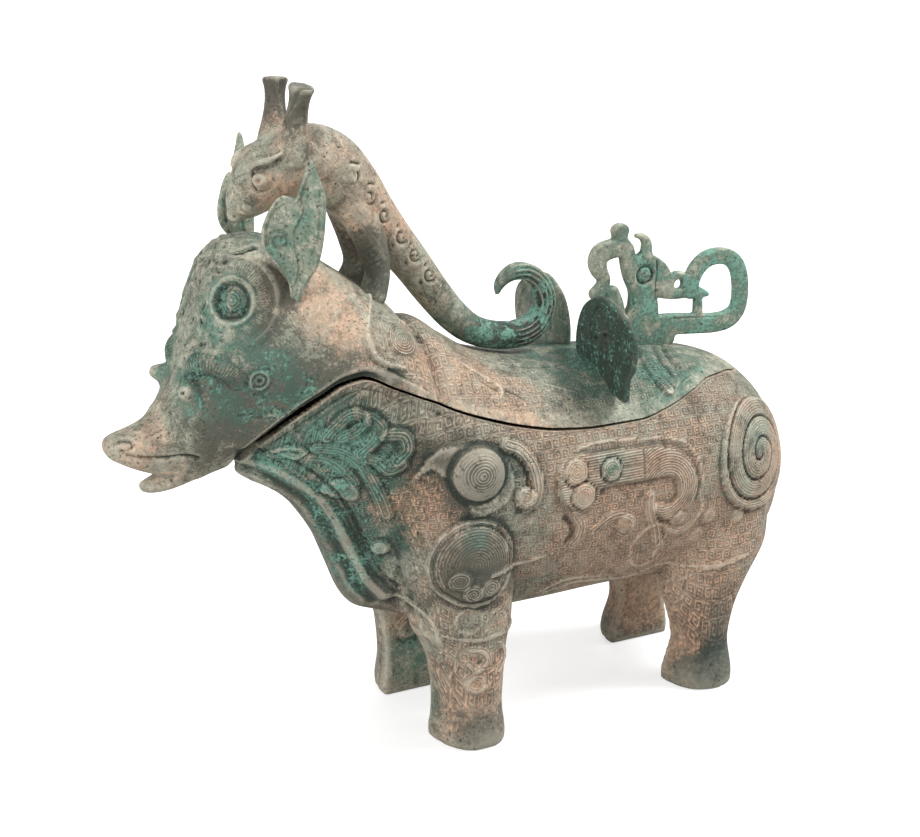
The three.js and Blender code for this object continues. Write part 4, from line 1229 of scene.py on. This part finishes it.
for side in (-1, 1):
    mirror = [1, side, 1]
    lean = np.array([0.12, 0.2 * side, 1.0]) / np.linalg.norm([0.12, 0.2, 1.0])
    start = np.multiply([-79.5, 9, 266.0], mirror)
    horn_places = [start + lean * height for height, _ in HORN]
    dragon_shells.append(bar(horn_places, [radius for _, radius in HORN], step=0.6, around=32, blunt=0))
    dragon_shells.append(bar(np.multiply(DRAGON_LEG, mirror), [7.5, 6.6, 5.4, 6.2]))
    dragon_shells.append(bar(np.multiply(DRAGON_BROW, mirror), [0.9, 1.5, 1.6, 0.8]))
    dragon_shells.append(ball(np.multiply([-94.6, 9.6, 251.6], mirror), [3.8, 4.2, 3.6]))
    dragon_shells.append(ball(np.multiply([-98.6, 5.4, 240.6], mirror), [3.8, 3.6, 3.8]))
    dragon_shells.append(bar(np.multiply(DRAGON_LID, mirror), [1.0, 1.4, 0.9]))
dragon_points, dragon_faces, dragon_edges = fused(dragon_shells, 0.75, 4)
beast = Relief(dragon_points, normals_of(dragon_points, dragon_faces))
spine = traced([[x, z] for x, z, _ in DRAGON], 0.4)
off, along = beast.away(spine, 40, (0, 2))
off = np.minimum(off, 40)
length = along * 0.4 * len(spine)
beast_side = np.arctan2(beast.place[:, 1], np.maximum(off, 0.01)) / (np.pi / 2)


def score(points, width, height, closed=False):
    """A stroke on the dragon, measured through space."""
    beast.cord(points, width, height, SPACE, closed, mask=1.0)


EYE_RIM = [
    [-95.4, 11.4, 256.2], [-98.4, 9.6, 252.6], [-96, 11.2, 247.4], [-91.4, 12.6, 247.6], [-89.8, 13.4, 252],
    [-91.6, 13, 255.6],
]
PUPIL = [[-96.4, 13.2, 252], [-96.3, 13.3, 251.9], [-96.2, 13.3, 251.8]]
NOSTRIL = [
    [-101.5, 7.5, 243.5], [-101.8, 7, 240.5], [-99.3, 8.6, 238.2], [-96.1, 9.8, 239.2], [-94.8, 10.6, 242],
]
MOUTH = [[-103, 3, 236.4], [-100.5, 6, 235.2], [-97, 8.5, 235.2], [-93.5, 10.4, 237.2]]
score(EYE_RIM, 1.2, -1.3, True)
score(PUPIL, 1.9, -1.6)
score(NOSTRIL, 1.0, -0.8)
score(MOUTH, 1.1, -0.9)
SCALES = (
    (-56, 250, 13.5), (-47.5, 240.5, 12.5), (-40, 232, 11), (-31.5, 222, 9.6), (-25, 213.5, 8.8),
    (-18, 204, 8.2),
)
for x, z, out in SCALES:
    ring = spiral([x, z], 3.4, 1.2, 0.4, -1.2, 24)
    score(np.stack([ring[:, 0], np.full(24, out - 0.6), ring[:, 1]], 1), 1.1, -1.2)
    score([[x + 4.4, out - 1.8, z + 4.8], [x - 0.5, out - 0.8, z + 5.4], [x - 4.6, out - 1.4, z + 1.5],
           [x - 4.2, out - 1.4, z - 3.5]], 1.1, -1.2)
tail = ease(22, 30, beast.place[:, 0]) * (beast.place[:, 2] > 150)
flute = np.abs(np.mod(off / 2.0 + 0.5, 1) - 0.5) * 2
beast.height += tail * (flute - 0.5) * 1.1
plain = 1 - ease(0.2, 0.5, np.abs(beast.height))
beast.masks["ground"] = (1 - tail) * plain * 0.2 * ease(-72, -60, beast.place[:, 0])
beast.masks["ground"] += 0.6 * ease(270, 273, beast.place[:, 2])
beast.masks["across"] = length
beast.masks["up"] = 12 * beast_side  # millimetres, about a quarter of its girth
blot(beast, "dusk", [
    (36, 3, 178, 16, 2.2), (8, 3, 170, 14, 0.8), (-47, 12, 219, 8, 2.0), (-78, 12, 284, 12, 1.4),
    (28, 5, 176, 14, 1.0), (-45, 12, 204, 6, 0.8),
])
blot(beast, "lush", [
    (36, 3, 184, 20, 0.9), (8, 5, 174, 22, 0.7), (-45, 11, 206, 10, 0.3), (-85, 8, 262, 10, 0.15),
])
blot(beast, "earth", [(-88, 10, 246, 14, 0.5), (-78, 8, 270, 8, 0.5), (-40, 10, 228, 20, 0.4)])
dragon_points = shaped(dragon_points, dragon_faces, dragon_edges, beast)
publish("lid_dragon", dragon_points, dragon_faces, beast.masks, lid_patina, "lid_bronze", "lid")

# %% [markdown]
# Ears and wing plates are leaves: every point is a share of the way from a middle out to the outline, and
# the thickness falls off in a round edge. The relief, a raised rim and a coil, is drawn in the leaf's own
# plane.

# %% Leaf plates
EAR = [
    [-2.4, -34], [4.2, -22], [8.6, -14.6], [11.2, -6], [12.8, 5], [13.1, 14], [10.6, 21.8], [7.4, 28],
    [4.0, 20.4], [1.2, 13], [-1.0, 12.8], [-4.8, 13.2], [-8.9, 9.2], [-12.9, 0], [-12.4, -7.5],
    [-6.6, -15.5], [-3.6, -23],
]
WING = [
    [4, 158], [3.5, 170], [8, 181], [16, 187], [25, 189.5], [38, 186], [48, 180], [51.5, 173], [50.5, 163],
    [46.5, 157], [44, 147], [28, 150], [10, 152],
]


def leaf(outline, middle, thickness, across=40, around=280):
    """Both faces of a plate: the middle plus a share of the way to the outline, with a rounded edge."""
    edge = traced(outline, 0.2, True)[:-1]
    edge = edge[np.linspace(0, len(edge) - 1, around).astype(int)]
    share = np.sin(np.linspace(0.02, 1, across) * np.pi / 2)[:, None, None]
    flat = np.asarray(middle) + (edge[None] - middle) * share
    thick = thickness / 2 * (1 - share[..., 0] ** 10) ** 0.5
    front = np.concatenate([flat, np.broadcast_to(thick[..., None], flat.shape[:2] + (1,))], 2)
    back = np.concatenate([flat, np.broadcast_to(-thick[..., None], flat.shape[:2] + (1,))], 2)
    return tube(np.concatenate([front, back[-2::-1]], 0))


def plate_piece(name, outline, middle, thickness, draw, place, lush, material, holes=()):
    """Leaf, its relief drawn by a function in its own plane, then placed in space and published."""
    points, faces = leaf(outline, middle, thickness)
    work = Relief(points[:, [0, 2, 1]], np.zeros_like(points))
    work.place = np.stack([points[:, 0], np.zeros(len(points)), points[:, 1]], 1)
    work.flank = np.ones(len(points))
    draw(work)
    rim = traced(outline, 0.4, True)
    distance, _ = work.away(rim, 4)
    work.height += 0.7 * (1 - ease(0.9, 1.9, distance))
    face = np.sign(points[:, 2]) * np.clip(np.abs(points[:, 2]) / (thickness / 2), 0, 1)
    points[:, 2] += work.height * face
    work.masks["lush"][:] = lush
    # Depth for the finish: grooves count as hollow and take painted shade, and raised parts count as worn
    # edges.
    work.masks["hollow"] = np.where(work.height < -0.2, 0.25, np.where(work.height > 0.4, -0.12, 0.02))
    work.masks["across"] = points[:, 0]
    work.masks["up"] = points[:, 1]
    work.masks["rough"][:] = 0.25
    placed, faces = facing_out(place(points), faces)
    pierced = (placed, faces, work.masks)
    for u, v, radius in holes:
        pin = bar([[u, v, -9], [u, v, 0], [u, v, 9]], radius, step=2.0, around=18)
        pierced = cut(*pierced, facing_out(place(pin[0]), pin[1]))
    return publish(name, *pierced, material, "lid_bronze", "lid")


def ear_relief(work):
    """A coil in the small lobe, a fold between the two lobes, and a long inner line."""
    fold = [
        [7.4, 24], [4.8, 19], [2.6, 13], [3.6, 9], [1.8, 4.5], [-0.7, -1], [-0.6, -9.6], [0.4, -15],
        [-1.4, -22],
    ]
    work.cord(fold, 1.1, 0.8)
    work.cord([[9.2, 24], [11, 17], [10.8, 9], [9.4, -3], [6.5, -10]], 0.8, -0.5)
    work.cord(spiral([-6.2, -4.6], 4.7, 1.0, 3.4, -1.5, 36), 1.0, -0.8)
    work.cord([[-10.9, -6], [-10.4, 1], [-7.4, 7], [-3.6, 10]], 0.9, -0.6)


def wing_relief(work):
    """A long coil on the outer lobe, and a second line inside the rim."""
    work.cord([[18, 164], [17, 176], [22, 184], [34, 183], [43, 177], [46, 168]], 1.0, -0.7)
    work.cord(spiral([30, 168], 8, 1.5, 0.5, 1.6, 40), 1.1, 0.7)


WING_HOLES = ([29, 172.5, 1.5], [21.5, 170, 1.3])  # where the real casting has worn through
EAR_MIDDLE = np.array([1.0, -3.0])
for side, label in ((-1, "left"), (1, "right")):
    out = np.array([0.805, side * 0.593, 0.0])
    upright = np.array([-0.06, side * 0.08, 1.0])
    upright /= np.linalg.norm(upright)
    facing = np.cross(out, upright)

    def stand_ear(points):
        """Along the leaf, up it, and a little cupped, by the square of the distance across."""
        cup = -0.012 * points[:, 0] ** 2 * side
        return (np.array([-88, side * 29, 235.0]) + points[:, :1] * out + points[:, 1:2] * upright
                + (points[:, 2:] + cup[:, None]) * facing)

    def stand_wing(points):
        """Across the lid and up, in the plane over the mask's brow."""
        return np.stack([57 + points[:, 2], side * points[:, 0], points[:, 1]], 1)

    plate_piece("lid_ear_" + label, EAR, EAR_MIDDLE, 2.2, ear_relief, stand_ear, 0.4, ear_and_lit_wing_patina)
    # The near wing takes the darker copy as painted shade, and the far wing takes the lighter copy as painted
    # light.
    plate_piece("lid_wing_" + label, WING, np.array([31.0, 170.0]), 2.8, wing_relief, stand_wing, 0.45,
                shaded_wing_patina if side < 0 else ear_and_lit_wing_patina, WING_HOLES)

# %% [markdown]
# Over the rump an openwork creature grows out of the mask, and its trunk runs back, up and round into a
# handle. It was cast flat, so its strokes are fused first and then pressed to the plate's thickness.

# %% The openwork creature and the trunk
PLATE = 2.75  # half the openwork's thickness
STROKES = (
    ([[79.8, 203.5], [80, 208.6], [80, 211.2]], [3.2, 3.6, 4.4]),
    (
        [
            [82, 203.8], [75.5, 203.4], [70.6, 202], [68.6, 198], [70, 193.6], [72.4, 190], [71, 186.2],
            [68, 183.4],
        ],
        [4.4, 4.4, 4.6, 4.3, 3.7, 2.8, 3.2, 3.4],
    ),
    ([[76.5, 184], [77, 177], [76, 170], [75, 163]], [3.4, 5.5, 7.5, 9]),
    (
        [[83.4, 203], [84.6, 198], [87.4, 191], [91.5, 184], [93, 176], [92, 169], [91, 162]],
        [3.6, 4, 5, 6, 7.4, 9, 9],
    ),
    ([[88.6, 208], [91.6, 207.4], [94, 204.6], [94.2, 200], [93.4, 195]], [1.2, 1.8, 2.3, 2.8, 4.4]),
    ([[92, 194], [97, 192.4], [102, 189.8], [106.3, 186.4]], [6.4, 5.8, 4.6, 2.4]),
    ([[90, 188], [96, 186], [101.5, 183.5], [105.5, 180.5]], [6, 6, 4.6, 3.2]),
    (
        [[98, 184], [102.5, 181.2], [109, 179.2], [116, 178.6], [122, 178.6], [128, 176.6]],
        [4, 3.4, 2.8, 2.4, 2.6, 1.4],
    ),
    ([[123, 178], [123.3, 167]], [2.1, 2.3]),
    ([[71, 162], [84, 164.5], [96, 164.5], [110, 164.6]], [8, 8, 6.4, 5]),
    ([[82, 158], [96, 158], [108, 158.5]], [4, 4.5, 3]),
)
TRUNK = [
    [104, 165], [112, 164.6], [121, 163.6], [131.3, 162.6], [139.8, 163.4], [145.2, 167.6], [146.6, 176],
    [145.2, 185.4], [141.4, 191.2], [135.2, 193.8], [127.8, 193.4], [122.4, 189.8], [119.4, 184.6],
    [118.2, 178.6],
]
open_shells = [bar([[x, 0, z] for x, z in path], radii, step=0.7) for path, radii in STROKES]
ring_path = spiral([111.5, 183.2], 4.3, 4.3, 0, 1.04, 40)
open_shells.append(bar(np.stack([ring_path[:, 0], 0 * ring_path[:, 0], ring_path[:, 1]], 1), 2.1, step=0.5))
open_shells.append(bar([[x, 0, z] for x, z in TRUNK], [5.2, 5.0, 4.8, 4.6, 4.4] + [3.9] * 9, step=0.7))
open_points, open_faces, open_edges = fused(open_shells, 0.6, 3)
open_points[:, 1] = PLATE * np.tanh(1.5 * open_points[:, 1] / PLATE)
crest = Relief(open_points, normals_of(open_points, open_faces))
crest.flank = ease(0.3, 0.7, np.abs(crest.normals[:, 1]))
crest.cord(spiral([92.4, 190.2], 3.9, 3.9, 0, 1, 30), 1.2, -1.2, closed=True)
crest.cord([[92.4, 190.2], [92.5, 190.3], [92.6, 190.4]], 1.2, 0.8)
crest.cord([[98.5, 196], [98.8, 190], [98.2, 184], [98.6, 178]], 0.8, -0.6)
crest.cord([[108, 168], [120, 167], [132, 166]], 0.8, -0.4)
blot(crest, "lush", [(135, 0, 182, 28, 0.9), (92, 0, 190, 16, 0.45), (95, 0, 165, 22, 0.35)])
open_points = shaped(open_points, open_faces, open_edges, crest)
publish("lid_openwork", open_points, open_faces, crest.masks, openwork_patina, "lid_bronze", "lid")

# %% [markdown]
# A pale floor, a pale surround, a wide soft sun and two lamps are all the setting. The camera stands where
# the view was taken from: low enough to see the flank, high enough to see the mask on the lid.

# %% Floor, light and camera
FLOOR_REACH = 40  # metres, so that its edge is out of sight from every side
floor_corners = [(x * FLOOR_REACH, y * FLOOR_REACH, 0) for x, y in ((-1, -1), (1, -1), (1, 1), (-1, 1))]
floor_mesh = bpy.data.meshes.new("floor")
floor_mesh.from_pydata(floor_corners, [], [[0, 1, 2, 3]])
floor = bpy.data.objects.new("floor", floor_mesh)
bpy.context.scene.collection.objects.link(floor)
paper = bpy.data.materials.new("pale_paper")
paper.use_nodes = True
sheet = paper.node_tree.nodes["Principled BSDF"]
sheet.inputs["Base Color"].default_value = (0.5, 0.5, 0.495, 1)
sheet.inputs["Roughness"].default_value = 0.9
seen = paper.node_tree.nodes.new("ShaderNodeLightPath")
paper.node_tree.links.new(seen.outputs["Is Camera Ray"], sheet.inputs["Emission Color"])
sheet.inputs["Emission Strength"].default_value = 0.6
floor_mesh.materials.append(paper)

world = bpy.data.worlds.new("pale_room")
bpy.context.scene.world = world
world.use_nodes = True
world.node_tree.nodes["Background"].inputs["Color"].default_value = (1, 1, 1, 1)
world.node_tree.nodes["Background"].inputs["Strength"].default_value = 0.52


def turned_to(place, aim):
    """Rotation that makes a lamp or camera at a place look at an aim, which is along its own -Z."""
    return (Vector(aim) - Vector(place)).to_track_quat("-Z", "Y").to_euler()


AIM = (-MIDDLE_X * MM, 0, 0.136)
SUN_PLACE, SUN_WIDTH, SUN_STRENGTH = (0.8, -0.3, 1.0), np.radians(24), 3.7
LAMPS = (
    ("left", (-1.4, -0.5, 1.0), 0.5, 18),
    ("behind", (0.6, 1.3, 0.9), 0.8, 9),
)
sun = bpy.data.lights.new("sky", "SUN")
sun.angle = SUN_WIDTH
sun.energy = SUN_STRENGTH
sky = bpy.data.objects.new("sky", sun)
sky.rotation_euler = turned_to(SUN_PLACE, (0, 0, 0))
bpy.context.scene.collection.objects.link(sky)
for label, place, size, power in LAMPS:
    lamp = bpy.data.lights.new(label, "AREA")
    lamp.size = size
    lamp.energy = power
    stand = bpy.data.objects.new(label, lamp)
    stand.location = place
    stand.rotation_euler = turned_to(place, AIM)
    bpy.context.scene.collection.objects.link(stand)

AZIMUTH, ELEVATION, DISTANCE = np.radians(-28.0), np.radians(17.9), 0.867
level = np.cos(ELEVATION)
back = np.array([np.sin(AZIMUTH) * level, -np.cos(AZIMUTH) * level, np.sin(ELEVATION)])
SENSOR, PICTURE_WIDTH, FOCAL_PIXELS = 36, 920, 1989
lens = bpy.data.cameras.new("camera")
lens.sensor_fit = "HORIZONTAL"
lens.sensor_width = SENSOR
lens.lens = FOCAL_PIXELS / PICTURE_WIDTH * SENSOR
camera = bpy.data.objects.new("camera", lens)
camera.location = np.array(AIM) + back * DISTANCE
camera.rotation_euler = turned_to(camera.location, AIM)
bpy.context.scene.collection.objects.link(camera)
bpy.context.scene.camera = camera
bpy.context.scene.view_settings.view_transform = "Standard"
print("camera at", [round(v, 3) for v in camera.location])
